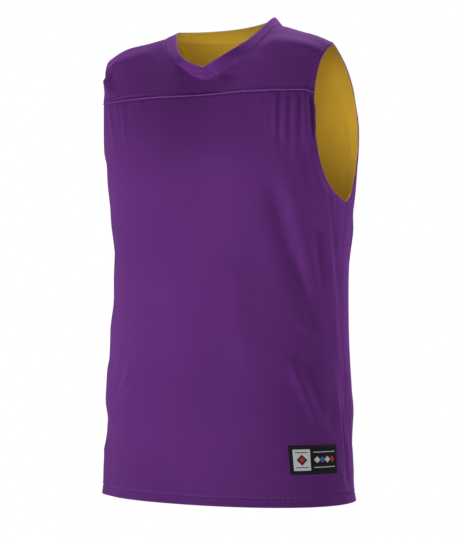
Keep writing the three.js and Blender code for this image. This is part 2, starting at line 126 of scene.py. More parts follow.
# Armhole edges from the armpit up to the shoulder, as degrees from the panel's own centre
ARMHOLE_COLUMNS = ["step", "level", "degrees"]
FRONT_ARMHOLE = table(
    ARMHOLE_COLUMNS,
    [
        [0, 449, 90],
        [1, 451.5, 84],
        [2, 457, 78],
        [3, 466, 72.2],
        [4, 479, 66.6],
        [5, 497, 61.6],
        [6, 522, 57.5],
        [7, 552, 54.6],
        [8, 587, 52],
        [9, 625, 51.2],
        [10, 665, 52],
        [11, 710, 54],
        [12, 755, 55],
        [13, SHOULDER_SEAM_LEVEL, 53.8],
    ],
)
BACK_ARMHOLE = table(
    ARMHOLE_COLUMNS,
    [
        [0, 449, 90],
        [1, 451, 86.2],
        [2, 457, 83],
        [3, 468, 80.2],
        [4, 485, 76.4],
        [5, 507, 71.8],
        [6, 533, 67],
        [7, 563, 61.8],
        [8, 595, 56.4],
        [9, 630, 53.2],
        [10, 668, 50.9],
        [11, 710, 49.1],
        [12, 755, 50],
        [13, SHOULDER_SEAM_LEVEL, 53.8],
    ],
)
ARMHOLE_STEPS = 13

# Collar band from the point of the V to the centre back: where its seam lies across, and its rim
NECK = table(
    ["step", "seam_x", "rim_x", "rim_y", "rim_z"],
    [
        [0, 0, 0, -83.5, 655],
        [1, 23, 15, -84.5, 661],
        [2, 40, 30, -81, 668.5],
        [3, 55, 45, -71.5, 679],
        [4, 71, 60, -54.5, 692.5],
        [5, 83, 72, -37, 708.5],
        [6, 92, 80, -24, 722],
        [7, 97, 84, -11, 731],
        [8, 91, 80, 5, 733.5],
        [9, 74, 66, 20, 733.5],
        [10, 49, 45, 30.5, 732.5],
        [11, 24, 22, 36, 731.5],
        [12, 0, 0, 37.5, 731],
    ],
)
NECK_SIDE_STEP = 7
NECK_BACK_STEP = 12
BAND_END = 2 * NECK_BACK_STEP
RIM_TILT = 0.06
RIM_SHIFT = 3.2
RIM_DROP = 1.8
LAP_REACH = 24
LAP_STEPS = 1.3
LAP_RISE = 1.5
RIM_HALF_WIDTH = 84

# Folds. Girth is mm from the panel's centre, positive to the right as one looks at that panel.
# A positive rise is a ridge and a negative one a trough.
FOLD_COLUMNS = ["from_girth", "from_level", "to_girth", "to_level", "width", "rise"]
GATHERS = table(
    FOLD_COLUMNS,
    [
        [113, 592, 120, 520, 4.2, 1.7],
        [126, 592, 133, 500, 4.0, 2.0],
        [139, 592, 146, 506, 4.2, 1.7],
        [152, 592, 161, 498, 4.0, 1.9],
        [-147, 592, -131, 512, 4.4, 2.0],
        [-133, 592, -120, 530, 4.2, 1.4],
        [-119, 592, -108, 516, 4.2, 1.7],
    ],
)
FRONT_FOLDS = table(
    FOLD_COLUMNS,
    [
        [114, 490, 192, 255, 15, -4.8],
        [138, 480, 205, 300, 11, 2.0],
        [150, 225, 200, 98, 9, 3.6],
        [170, 225, 214, 108, 10, -2.6],
        [190, 425, 214, 290, 9, -3.8],
        [207, 440, 236, 300, 8, 2.8],
        [221, 440, 250, 290, 8, -3.0],
        [219, 160, 216, 100, 8, -2.6],
        [258, 205, 259, 75, 9, -3.4],
        [-104, 200, -204, 78, 12, 4.2],
        [-122, 205, -222, 95, 10, -3.4],
        [-236, 130, -250, -40, 30, 5.0],
        [-190, 420, -220, 300, 11, -3.0],
        [-150, 480, -205, 330, 14, -3.2],
        [-158, 680, -122, 600, 9, -2.4],
        [-166, 660, -140, 600, 8, 1.8],
        [26, 650, 84, 606, 13, -2.6],
        [-40, 330, -70, 120, 22, -2.4],
        [60, 380, 92, 180, 20, 2.2],
    ],
)
BACK_FOLDS = table(
    FOLD_COLUMNS,
    [
        [-196, 470, -120, 300, 15, -4.6],
        [-212, 440, -150, 280, 11, 3.0],
        [192, 476, 118, 290, 15, -4.8],
        [210, 452, 150, 300, 11, 2.8],
        [-60, 420, -48, 150, 18, -3.0],
        [34, 400, 52, 120, 20, -2.8],
        [-6, 330, 4, 90, 16, 2.4],
        [-168, 210, -214, 80, 10, 3.2],
        [176, 230, 222, 90, 11, -3.0],
        [-128, 590, -60, 520, 16, -2.4],
        [126, 600, 62, 524, 16, -2.2],
        [-150, 690, -122, 610, 10, -2.0],
        [150, 700, 120, 620, 10, -2.0],
    ],
)
FOLD_START = 0.22
FOLD_END = 0.4

# Finer creases, which only the cloth's surface has
FRONT_CREASES = table(
    FOLD_COLUMNS,
    [
        [104, 600, 110, 520, 3.6, 0.7],
        [113, 600, 122, 490, 3.4, 0.5],
        [119, 600, 129, 500, 2.8, -0.8],
        [126, 600, 137, 462, 3.2, 0.5],
        [132, 600, 144, 480, 2.4, -0.6],
        [139, 600, 152, 470, 3.2, 0.7],
        [145, 600, 160, 486, 2.6, -0.8],
        [152, 600, 170, 500, 3.0, 1.3],
        [158, 600, 174, 520, 2.6, -1.9],
        [168, 590, 178, 520, 2.6, 0.8],
        [160, 530, 184, 440, 8, -1.8],
        [92, 594, 95, 550, 3.0, 0.4],
        [76, 594, 79, 560, 3.4, 0.35],
        [-104, 594, -98, 540, 2.6, 0.45],
        [-88, 594, -84, 556, 3.0, 0.35],
        [-166, 597, -36, 604, 1.5, 1.2],
        [-166, 601, -46, 609, 1.5, -0.5],
        [-170, 664, -138, 598, 3.2, 1.7],
        [-184, 668, -158, 602, 5.0, -1.7],
        [-150, 690, -112, 610, 4.0, -0.8],
        [-150, 600, -96, 596, 2.4, -0.4],
        [168, 520, 186, 450, 4.0, 0.8],
        [214, 470, 238, 372, 2.6, 1.1],
        [206, 474, 230, 380, 3.0, -1.2],
        [196, 474, 214, 352, 3.4, 1.1],
        [222, 462, 250, 372, 2.6, -1.2],
        [182, 480, 200, 320, 3.4, 0.9],
        [180, 462, 210, 330, 4.0, -0.8],
        [232, 446, 246, 360, 3.6, 1.0],
        [226, 300, 246, 190, 5.5, 0.9],
        [236, 270, 252, 120, 4.4, -1.0],
        [244, 150, 252, 30, 5.0, -1.6],
        [206, 40, 238, 2, 5.0, -1.2],
        [228, 60, 250, 4, 4.5, 1.3],
        [180, 250, 205, 180, 6.0, -0.9],
        [186, 300, 210, 236, 7.0, 1.2],
        [120, 540, 150, 470, 6.0, -0.8],
        [10, 646, 44, 622, 5.0, 0.6],
        [34, 662, 70, 640, 5.0, -0.7],
        [58, 690, 96, 660, 6.0, -0.8],
        [-20, 640, -60, 618, 6.0, -0.5],
        [-134, 700, -150, 640, 4.0, -0.9],
        [-146, 690, -160, 630, 3.5, 0.8],
        [-200, 60, -240, 20, 6.0, 1.0],
        [-160, 90, -216, 40, 7.0, -1.0],
        [-110, 150, -150, 90, 8.0, 0.8],
        [-180, 520, -200, 450, 5.0, -0.8],
        [-170, 500, -214, 400, 6.0, 0.9],
        [-206, 440, -236, 330, 5.0, 0.9],
        [0, 300, 20, 60, 26, 0.9],
        [-206, 310, -204, 50, 34, 6.2],
        [-206, 215, -204, 105, 30, 2.6],
        [-196, 100, -200, -60, 24, 7.0],
        [-190, 530, -192, 400, 22, -3.4],
        [70, 706, 184, 674, 23, 4.4],
        [-80, 702, -176, 672, 19, 2.4],
        [226, 20, 262, 18, 3.0, 1.6],
        [247, 72, 252, 24, 4.5, -1.5],
        [176, 268, 208, 238, 4.5, 1.5],
        [148, 215, 204, 86, 2.6, 0.8],
        [-148, 176, -208, 60, 6.5, -2.4],
        [-136, 240, -190, 104, 11, 1.8],
        [158, 386, 208, 205, 9, -2.6],
        [160, 276, 210, 236, 4.0, 1.7],
        [232, 330, 246, 150, 4.0, 1.4],
        [240, 200, 252, 40, 3.4, -1.8],
        [226, 210, 244, 60, 4.0, 1.2],
        [214, 22, 252, 6, 5.0, 1.6],
        [90, 420, 120, 300, 16, -1.0],
        [-90, 500, -120, 380, 18, 0.9],
    ],
)
BACK_CREASES = table(
    FOLD_COLUMNS,
    [
        [-214, 452, -190, 370, 4.5, 1.0],
        [-196, 448, -176, 380, 4.0, -0.8],
        [-232, 440, -220, 330, 4.0, -1.0],
        [216, 450, 190, 370, 4.5, 0.9],
        [200, 446, 178, 370, 4.0, -0.9],
        [234, 440, 222, 320, 4.0, 1.0],
        [-236, 180, -246, 40, 5.0, -1.3],
        [238, 170, 248, 30, 5.0, -1.2],
        [-90, 330, -70, 180, 12, 1.0],
        [84, 340, 96, 160, 13, -1.0],
        [-30, 620, -18, 540, 12, 0.8],
        [30, 640, 16, 560, 10, -0.7],
        [-104, 700, -84, 640, 8, 0.8],
        [104, 710, 82, 650, 8, -0.8],
        [-190, 90, -226, 20, 7.0, 1.1],
        [150, 120, 190, 20, 8.0, 1.0],
        [-210, 150, -210, -30, 26, -2.6],
        [-214, 452, -206, 356, 14, -1.7],
    ],
)

# Label by the hem on the wearer's left
LABEL = {"from_girth": 146, "to_girth": 224, "bottom": 48, "top": 90, "lift": 0.4, "lean": 3.0}
LABEL_STITCH = 2.2


def smooth(value):
    value = np.clip(value, 0, 1)
    return value * value * (3 - 2 * value)


def lerp(start, end, share):
    return start + (end - start) * share


def curve(rows, key, column):
    """A smooth curve through one column of a table."""
    at, values = rows[key], rows[column]
    slopes = np.gradient(values, at)

    def value(x):
        x = np.clip(x, at[0], at[-1])
        index = np.clip(np.searchsorted(at, x, side="right") - 1, 0, len(at) - 2)
        span = at[index + 1] - at[index]
        t = (x - at[index]) / span
        start = (2 * t**3 - 3 * t**2 + 1) * values[index] + (t**3 - 2 * t**2 + t) * span * slopes[index]
        end = (3 * t**2 - 2 * t**3) * values[index + 1] + (t**3 - t**2) * span * slopes[index + 1]
        return start + end

    return value


half_width_at = curve(RINGS, "level", "half_width")
front_depth_at = curve(RINGS, "level", "front")
back_depth_at = curve(RINGS, "level", "back")
squareness_at = curve(RINGS, "level", "squareness")


def run_along(points):
    """How far along a line of points each one is."""
    return np.concatenate([[0], np.cumsum(np.linalg.norm(np.diff(points, axis=0), axis=1))])


def ridge_height(x):
    drop = np.maximum(0, np.abs(x) - TIP_DROP_START)
    reach = np.hypot(x, RIDGE_ROUNDING)
    return RIDGE_NECK_HEIGHT - RIDGE_SLOPE * (reach - NECK_HALF_WIDTH) - TIP_DROP * drop**2


def ridge_depth(x):
    return RIDGE_DEPTH - RIDGE_SWEEP * np.clip((np.abs(x) - 90) / 100, 0, 1.2)


def fullness(x, is_front):
    """How full the cloth stands between chest and shoulder line."""
    outward = smooth(np.abs(x) / 185)
    return np.where(is_front, 1.45 + 0.9 * outward, 2.15 + 0.2 * outward)


def rounded(first, second, power):
    """A rounded corner between two unit legs."""
    reach = (np.abs(first) ** power + np.abs(second) ** power) ** (1 / power)
    return first / reach, second / reach


def body_point(angle, level):
    """A point of the smooth body. The angle goes round from the centre front over the wearer's left."""
    angle, level = np.broadcast_arrays(np.asarray(angle, float), np.asarray(level, float))
    across, ahead = rounded(np.sin(angle), np.cos(angle), squareness_at(level))
    is_front = ahead > 0
    x = half_width_at(level) * across
    depth = np.where(is_front, front_depth_at(level), back_depth_at(level))
    turn = np.clip((level - SHOULDER_START) / (RIDGE_LEVEL - SHOULDER_START), 0, 1) * math.pi / 2
    rise, run = rounded(np.sin(turn), np.cos(turn), fullness(x, is_front))
    y = ridge_depth(x) * (1 - run) - depth * ahead * run
    above = SHOULDER_START + (ridge_height(x) - SHOULDER_START) * rise
    return np.stack([x, y, np.where(level <= SHOULDER_START, level, above)], -1)


def unit(vectors):
    return vectors / np.maximum(np.linalg.norm(vectors, axis=-1, keepdims=True), 1e-12)


def normal_to(point_at, first, second, first_step, second_step, second_most):
    high = np.minimum(second + second_step, second_most)
    along = point_at(first + first_step, second) - point_at(first - first_step, second)
    up = point_at(first, high) - point_at(first, second - second_step)
    return unit(np.cross(along, up))


# Girth round the waist from the centre front, one entry a degree
ROUND = np.arange(361) * DEGREE
WAIST = body_point(ROUND, 300)
GIRTHS = run_along(WAIST)
FULL_GIRTH = GIRTHS[-1]
BACK_CENTRE_GIRTH = GIRTHS[180]


def girth_at(angle):
    return np.interp(np.mod(angle, 2 * math.pi), ROUND, GIRTHS)


def angle_at_girth(girth):
    return np.interp(girth, GIRTHS, ROUND)


def fold_rise(folds, centre_girth, girth, level):
    """The height of every fold of a table, added up."""
    total = np.zeros(np.broadcast(girth, level).shape)
    for row in range(len(folds["rise"])):
        fold = {name: folds[name][row] for name in FOLD_COLUMNS}
        across = girth - centre_girth - fold["from_girth"]
        across = across - np.round(across / FULL_GIRTH) * FULL_GIRTH
        up = level - fold["from_level"]
        run_girth = fold["to_girth"] - fold["from_girth"]
        run_level = fold["to_level"] - fold["from_level"]
        length = math.hypot(run_girth, run_level)
        along = (across * run_girth + up * run_level) / length**2
        aside = (across * run_level - up * run_girth) / length
        fade = smooth(along / FOLD_START) * smooth((1 - along) / FOLD_END)
        total += fold["rise"] * fade * np.exp(-((aside / fold["width"]) ** 2))
    return total


def unevenness(girth, level):
    """The soft, slow waves of hanging cloth."""
    turn = 2 * math.pi * girth / FULL_GIRTH
    slow = np.sin(5 * turn + level / 97 + 0.6) * np.sin(level / 71 + 1.1)
    quick = np.sin(11 * turn - level / 43 + 2.0) * np.sin(level / 39 + 0.4 + 2 * np.sin(turn))
    return 0.55 * slow + 0.22 * quick


# The chest of the front stands fullest a little above the armpits
CHEST_RISE = 8.0
CHEST_LEVELS = {"start": 425, "full": 515, "turn": 532, "end": 700}
CHEST_ANGLES = {"full": 12 * DEGREE, "end": 52 * DEGREE}


def chest_fullness(angle, level):
    """How far the chest of the front stands out."""
    at = CHEST_LEVELS
    up = smooth((level - at["start"]) / (at["full"] - at["start"]))
    down = 1 - np.clip((level - at["turn"]) / (at["end"] - at["turn"]), 0, 1)
    aside = np.abs(np.mod(angle + math.pi, 2 * math.pi) - math.pi)
    across = 1 - smooth((aside - CHEST_ANGLES["full"]) / (CHEST_ANGLES["end"] - CHEST_ANGLES["full"]))
    return CHEST_RISE * up * down**1.2 * across


def settle(points, level):
    """Small differences between the two sides, from the way this jersey sits on its shoulders."""
    x = points[..., 0]
    at_top = smooth((level - 690) / 100)
    by_neck = np.exp(-(((x - 102) / 32) ** 2)) * at_top
    right_strap = smooth((-x - 125) / 45) * smooth((level - 545) / 90)
    right_tip = smooth((-x - 118) / 50) * at_top
    seam_end = smooth((x - 169) / 11) * np.exp(-(((level - 592) / 16) ** 2))
    move = np.zeros(points.shape)
    move[..., 0] = -3.6 * right_strap * (1 - 0.5 * at_top)
    move[..., 2] = 4.2 * by_neck + 3.4 * right_tip - 3.6 * seam_end
    return points + move


def folded_point(angle, level, is_outer=True):
    """A point of the folded cloth. The lining gives way where a crease of the outer cloth is deep."""
    angle, level = np.broadcast_arrays(np.asarray(angle, float), np.asarray(level, float))
    girth = girth_at(angle)
    folds = fold_rise(FRONT_FOLDS, 0, girth, level) + fold_rise(BACK_FOLDS, BACK_CENTRE_GIRTH, girth, level)
    creases = fold_rise(GATHERS, 0, girth, level) + fold_rise(FRONT_CREASES, 0, girth, level)
    creases = creases + fold_rise(BACK_CREASES, BACK_CENTRE_GIRTH, girth, level) + unevenness(girth, level)
    creases = creases + chest_fullness(angle, level)
    if not is_outer:
        creases = np.minimum(creases + LINING_SLACK, 0)
    rise = folds + creases
    normal = normal_to(body_point, angle, level, 0.01, 0.5, RIDGE_LEVEL)
    return settle(body_point(angle, level) + normal * rise[..., None], level)


def cloth_point(angle, level, lift, is_outer=True):
    """A point of the folded cloth moved out along its normal, and that normal."""

    def point_at(a, l):
        return folded_point(a, l, is_outer)

    normal = normal_to(point_at, angle, level, 0.004, 0.4, RIDGE_LEVEL)
    return point_at(angle, level) + normal * np.asarray(lift)[..., None], normal


def level_at_height(angle, height):
    """The level at which the line of one angle reaches a height."""
    low = np.full(np.shape(angle), float(SHOULDER_START))
    high = np.full(np.shape(angle), float(RIDGE_LEVEL))
    for _ in range(40):
        middle = (low + high) / 2
        is_low = body_point(angle, middle)[..., 2] < height
        low = np.where(is_low, middle, low)
        high = np.where(is_low, high, middle)
    return low


def place_of(x, height, is_front):
    """The angle from the panel's centre and the level of a point given by its x and height."""
    power = fullness(x, is_front)
    rise = np.clip((height - SHOULDER_START) / (ridge_height(x) - SHOULDER_START), 0, 1)
    run = (1 - rise**power) ** (1 / power)
    turn = np.arctan2(rise, run) / (math.pi / 2)
    level = np.minimum(lerp(SHOULDER_START, RIDGE_LEVEL, turn), SHOULDER_SEAM_LEVEL)
    across = np.abs(x) / half_width_at(level)
    ahead = (1 - across ** squareness_at(level)) ** (1 / squareness_at(level))
    return np.arctan2(across, ahead), level


def front_neck_height(x):
    curl = ridge_height(NECK_HALF_WIDTH) - V_HEIGHT - V_SLOPE * NECK_HALF_WIDTH
    straight = V_HEIGHT + V_SLOPE * np.abs(x) + curl * (np.abs(x) / NECK_HALF_WIDTH) ** V_CURL
    return straight - V_ROUNDING * np.exp(-(((np.abs(x) - 22) / 15) ** 2))


def back_neck_height(x):
    rise = ridge_height(NECK_HALF_WIDTH) - BACK_NECK_HEIGHT
    return BACK_NECK_HEIGHT + rise * (x / NECK_HALF_WIDTH) ** 2


seam_x = curve(NECK, "step", "seam_x")
rim_x = curve(NECK, "step", "rim_x")
rim_y = curve(NECK, "step", "rim_y")
rim_z = curve(NECK, "step", "rim_z")


class Armhole:
    """One armhole edge, by its step from the armpit to the shoulder."""

    def __init__(self, rows):
        self.level = curve(rows, "step", "level")
        self.degrees = curve(rows, "step", "degrees")

    def angle(self, step):
        return np.minimum(self.degrees(step) * DEGREE, SIDE_SEAM_ANGLE)


FRONT_EDGE = Armhole(FRONT_ARMHOLE)
BACK_EDGE = Armhole(BACK_ARMHOLE)
STEPS = np.linspace(0, ARMHOLE_STEPS, 2601)
EDGE_HEIGHTS = body_point(FRONT_EDGE.angle(STEPS), FRONT_EDGE.level(STEPS))[:, 2]
YOKE_STEP = float(np.interp(YOKE_HEIGHT, EDGE_HEIGHTS, STEPS))

# A panel is laid out by u, from -1 to 1 across it, and v, from 0 to 1 up it. Its two sides
# follow side_at(v), and its bottom and top edges follow bottom_at(u) and top_at(u). Between the two
# values of shift its columns move across to where they meet the top edge; the front's need not.
SIDE_PULL = 3
TIP_PULL = 6
NECK_U = 0.52
ARMPIT_V = 0.6


class Panel:
    """One cut piece of the body, laid out by u across it and v up it."""

    def __init__(self, centre, shift, side_at, bottom_at, top_at):
        self.centre = centre
        self.shift = shift
        self.side_at = side_at
        self.bottom_at = bottom_at
        self.top_at = top_at

    def place(self, u, v):
        side_level, side_angle = self.side_at(v)
        top_angle, top_level = self.top_at(np.abs(u))
        corner_angle, corner_level = self.top_at(np.ones(1))
        side_bottom = self.bottom_at(np.ones(1))[0]
        side_share = np.clip((side_level - side_bottom) / (corner_level[0] - side_bottom), 0, 1)
        share = lerp(v, side_share, np.abs(u) ** SIDE_PULL)
        tip_shift = (side_angle - corner_angle[0]) * np.abs(u) ** TIP_PULL
        shift = smooth((v - self.shift[0]) / (self.shift[1] - self.shift[0]))
        angle = lerp(u * side_angle, np.sign(u) * (top_angle + tip_shift), shift)
        return self.centre + angle, lerp(self.bottom_at(np.abs(u)), top_level, share)


def body_side(edge, last_step):
    def side_at(v):
        step = last_step * np.maximum(v - ARMPIT_V, 0) / (1 - ARMPIT_V)
        below = v <= ARMPIT_V
        level = np.where(below, ARMPIT_HEIGHT * v / ARMPIT_V, edge.level(step))
        return level, np.where(below, SIDE_SEAM_ANGLE, edge.angle(step))

    return side_at


def shoulder_and_neck(neck_height, is_front, centre_step):
    tip = FRONT_EDGE.angle(ARMHOLE_STEPS)
    neck, _ = place_of(NECK_HALF_WIDTH, ridge_height(NECK_HALF_WIDTH), is_front)

    def top_at(u):
        along = np.clip((u - NECK_U) / (1 - NECK_U), 0, 1)
        x = seam_x(lerp(centre_step, NECK_SIDE_STEP, np.clip(u / NECK_U, 0, 1)))
        angle, level = place_of(x, neck_height(x), is_front)
        is_shoulder = u >= NECK_U
        return (
            np.where(is_shoulder, lerp(neck, tip, along), angle),
            np.where(is_shoulder, SHOULDER_SEAM_LEVEL, level),
        )

    return top_at


def yoke_line(height):
    def top_at(u):
        angle = u * FRONT_EDGE.angle(YOKE_STEP)
        return angle, level_at_height(angle, height)

    return top_at


def yoke_side(v):
    step = lerp(YOKE_STEP, ARMHOLE_STEPS, v)
    return FRONT_EDGE.level(step), FRONT_EDGE.angle(step)


def hem(u):
    return np.zeros_like(u)


def lining_hem(u):
    return np.full_like(u, float(LINING_HEM))


def yoke_bottom(u):
    return yoke_line(YOKE_HEIGHT)(u)[1]


BACK_TOP = shoulder_and_neck(back_neck_height, False, NECK_BACK_STEP)
FRONT = Panel(0, [1, 2], body_side(FRONT_EDGE, YOKE_STEP), hem, yoke_line(YOKE_HEIGHT))
YOKE = Panel(0, [0, 0.85], yoke_side, yoke_bottom, shoulder_and_neck(front_neck_height, True, 0))
BACK = Panel(math.pi, [0.6, 0.92], body_side(BACK_EDGE, ARMHOLE_STEPS), hem, BACK_TOP)
LINING_BACK = Panel(math.pi, [0.6, 0.92], body_side(BACK_EDGE, ARMHOLE_STEPS), lining_hem, BACK_TOP)


# Seam lines on the smooth body, each a row of close points
def armhole_line(edge, centre, from_step, to_step, side):
    step = np.linspace(from_step, to_step, 360)
    return body_point(centre + side * edge.angle(step), edge.level(step))


def side_seam_line(side):
    return body_point(side * np.full(200, math.pi / 2), np.linspace(0, ARMPIT_HEIGHT, 200))


def neck_seam_point(x, is_front):
    """A point of the smooth body on the collar seam."""
    height = np.where(is_front, front_neck_height(x), back_neck_height(x))
    angle, level = place_of(x, height, is_front)
    point = body_point(np.where(is_front, angle, math.pi - angle), level)
    point[..., 0] *= np.where(x < 0, -1, 1)
    return point, level


def settled_neck_seam(x, is_front):
    """The collar seam where the cloth has settled."""
    return settle(*neck_seam_point(x, is_front))


def neck_line(is_front):
    x = np.linspace(-NECK_HALF_WIDTH, NECK_HALF_WIDTH, 320)
    return neck_seam_point(x, np.full(x.shape, is_front))[0]


def shoulder_line(side):
    x = np.linspace(NECK_HALF_WIDTH, 186, 120)
    angle, _ = place_of(x, ridge_height(x), True)
    return body_point(side * angle, SHOULDER_SEAM_LEVEL)


def yoke_seam_line():
    angle = np.linspace(-1, 1, 500) * FRONT_EDGE.angle(YOKE_STEP)
    return body_point(angle, level_at_height(np.abs(angle), YOKE_HEIGHT))


def nearest(points, lines):
    """Each point's distance to the nearest of some lines, and how far along it that is."""
    flat = points.reshape(-1, 3)
    best = np.full(len(flat), 1e9)
    along = np.zeros(len(flat))
    for line in lines:
        run = run_along(line)
        for start in range(0, len(flat), 4000):
            part = slice(start, start + 4000)
            gaps = np.linalg.norm(flat[part, None, :] - line[None, :, :], axis=2)
            index = gaps.argmin(1)
            gap = gaps[np.arange(len(index)), index]
            closer = gap < best[part]
            best[part] = np.where(closer, gap, best[part])
            along[part] = np.where(closer, run[index], along[part])
    return best.reshape(points.shape[:-1]), along.reshape(points.shape[:-1])


def wobble(along, seed):
    """An uneven wave along a seam, from the pull of its stitches."""
    quick = np.sin(along / 1.35 + seed) + 0.6 * np.sin(along / 0.9 + 2.1 * seed)
    return quick * (0.35 + 0.65 * np.sin(along / 23 + 1.7 * seed) ** 2)


def sewn_edge(distance, along, stitch, padding, drop, pucker, seed):
    """Relief of a turned and topstitched edge: rounded over, padded, dented at the stitches, puckered."""
    roll = -drop * (1 - smooth(distance / 1.3))
    pad = padding * smooth(distance / 1.6) * (1 - smooth((distance - stitch + 1.2) / 1.6))
    dent = -0.3 * np.exp(-(((distance - stitch) / 0.8) ** 2))
    reach = np.exp(-(((distance - stitch) / 5.5) ** 2)) * smooth(distance / 2)
    return roll + pad + dent + pucker * wobble(along, seed) * reach


SEAMS = {
    "front": {
        "armhole": [armhole_line(FRONT_EDGE, 0, 0, YOKE_STEP, side) for side in SIDES],
        "side": [side_seam_line(side) for side in SIDES],
        "yoke": [yoke_seam_line()],
    },
    "yoke": {
        "armhole": [armhole_line(FRONT_EDGE, 0, YOKE_STEP, ARMHOLE_STEPS, side) for side in SIDES],
        "yoke": [yoke_seam_line()],
        "neck": [neck_line(True)],
        "shoulder": [shoulder_line(side) for side in SIDES],
    },
    "back": {
        "armhole": [armhole_line(BACK_EDGE, math.pi, 0, ARMHOLE_STEPS, side) for side in SIDES],
        "side": [side_seam_line(side) for side in SIDES],
        "neck": [neck_line(False)],
        "shoulder": [shoulder_line(side) for side in SIDES],
    },
}


# The lining lies flat over the side seams and has no yoke seam
SEAMS["front_lining"] = {"armhole": SEAMS["front"]["armhole"]}
SEAMS["yoke_lining"] = {name: SEAMS["yoke"][name] for name in ("armhole", "neck", "shoulder")}
SEAMS["back_lining"] = {name: SEAMS["back"][name] for name in ("armhole", "neck", "shoulder")}


def groove(distance, depth, width):
    """A soft groove along a line."""
    return -depth * np.exp(-((distance / width) ** 2))


def pucker(distance, along, height, width, start, seed):
    """The uneven waves that stitches pull into the cloth beside a seam."""
    return height * wobble(along, seed) * np.exp(-((distance / width) ** 2)) * smooth(distance / start)


def armhole_roll(points, level, distance):
    """How far the front rolls in along the lower armholes, mostly on the wearer's left."""
    reach = smooth((660 - level) / 90) * smooth((level - 440) / 30)
    by_side = np.where(points[..., 0] > 0, 1, RIGHT_ROLL_SHARE)
    return -ARMHOLE_ROLL * by_side * reach * (1 - smooth(distance / 18))


def hem_relief(angle, level):
    """The hem flares a little, is drawn in at its stitches and has a low ridge above them."""
    from_stitches = np.abs(level - HEM_TURN)
    flare = HEM_FLARE * np.clip(1 - level / HEM_TURN, 0, 1)
    ridge = 0.3 * np.exp(-(((level - HEM_TURN - 3.4) / 2.2) ** 2))
    waves = 0.28 * wobble(girth_at(angle), 5.0) * np.exp(-((from_stitches / 6) ** 2)) * smooth(level / 4)
    return flare + groove(from_stitches, 0.45, 1.5) + ridge + waves


def yoke_edge_relief(distance, from_armhole):
    """The yoke's folded edge stands up as a bead, lower near the armholes, with stitches above it."""
    bead = 1.5 * smooth(distance / 0.7) * np.exp(-((np.maximum(distance - 0.7, 0) / 1.5) ** 2))
    bead = bead * lerp(0.3, 1, smooth(from_armhole / 7))
    fold = 0.45 * (1 - smooth(distance / 9)) - 0.7 * (1 - smooth(distance / 0.7))
    return fold + bead + groove(distance - YOKE_STITCH - 0.6, 0.25, 0.7)


def seam_relief(part, angle, level):
    """How far the sewing moves the outer cloth out, how far both layers roll in along the armholes,
    and how near each point is to a folded or sewn edge."""
    points = body_point(angle, level)
    near = {name: nearest(points, lines) for name, lines in SEAMS[part].items()}
    from_armhole, along = near["armhole"]
    lift = sewn_edge(from_armhole, along, ARMHOLE_STITCH, 0.4, 0.45, 0.16, 1.0)
    edge = np.exp(-((from_armhole / 1.2) ** 2))
    roll = np.zeros(level.shape)
    if not part.startswith("back"):
        roll = armhole_roll(points, level, from_armhole)
    if "side" in near:
        distance, along = near["side"]
        lift = lift + groove(distance, 0.9, 1.1) + pucker(distance, along, 0.14, 7, 3, 3.0)
        lift = lift + hem_relief(angle, level)
    if "shoulder" in near:
        distance, along = near["shoulder"]
        lift = lift + groove(distance, 0.75, 1.2) + pucker(distance, along, 0.12, 6, 2, 7.0)
    if "neck" in near:
        lift = lift + sewn_edge(*near["neck"], COLLAR_STITCH, 0.2, 0.5, 0.14, 2.0)
    if "yoke" in near:
        distance, along = near["yoke"]
        lift = lift + pucker(distance, along, 0.1, 7, 3, 4.0)
        if part == "yoke":
            lift = lift + yoke_edge_relief(distance, from_armhole)
            edge = np.maximum(edge, np.exp(-(((distance - 0.9) / 1.0) ** 2)))
        else:
            lift = lift + groove(distance, 0.7, 1.6)
    return lift, roll, edge


def close_shoulder(points, part, level):
    """Pulls the last row of a panel over the shoulder seam, so that nothing shows through it."""
    lap = SHOULDER_LAP * smooth((level - SHOULDER_SEAM_LEVEL + 0.9) / 0.9)
    points[..., 1] += -lap if part.startswith("back") else lap


def outer_cloth(part, angle, level, lift=0.0):
    """Points of the purple cloth with its sewing, their normals, and how near they are to an edge."""
    relief, roll, edge = seam_relief(part, angle, level)
    points, normals = cloth_point(angle, level, relief + roll + lift)
    close_shoulder(points, part, level)
    return points, normals, edge


def lining_cloth(part, angle, level, clearance):
    """Points of the gold cloth, whose sewing stands inward, their normals, and nearness to an edge."""
    relief, roll, edge = seam_relief(part, angle, level)
    inward = 0.7 * relief * smooth((level - LINING_HEM) / 12)
    points, normals = cloth_point(angle, level, roll - LINING_DEPTH - clearance - inward, is_outer=False)
    close_shoulder(points, part, level)
    return points, normals, edge


def to_row_frame(points):
    """Millimetres above the hem as metres in the part's frame."""
    return (points - np.array([0, HOLD_DEPTH, -HEM_Z])) * MM


def select_only(obj):
    bpy.ops.object.select_all(action="DESELECT")
    obj.select_set(True)
    bpy.context.view_layer.objects.active = obj


def grid_faces(columns, rows):
    """The quads between the points of a grid that is stored row by row."""
    at = np.arange(rows - 1)[:, None] * columns + np.arange(columns - 1)[None, :]
    return np.stack([at, at + 1, at + columns + 1, at + columns], -1).reshape(-1, 4).tolist()


def make_mesh(name, points, faces, uv=None, edge=None):
    mesh = bpy.data.meshes.new(name)
    mesh.from_pydata(to_row_frame(points.reshape(-1, 3)).tolist(), [], faces)
    if uv is not None:
        layer = mesh.uv_layers.new(name="cloth")
        loops = np.zeros(len(mesh.loops), np.int32)
        mesh.loops.foreach_get("vertex_index", loops)
        layer.data.foreach_set("uv", (uv.reshape(-1, 2)[loops] * MM).astype(np.float32).ravel())
    if edge is not None:
        attribute = mesh.attributes.new("edge", "FLOAT", "POINT")
        attribute.data.foreach_set("value", edge.astype(np.float32).ravel())
    mesh.update()
    piece = bpy.data.objects.new(name, mesh)
    bpy.context.scene.collection.objects.link(piece)
    return piece


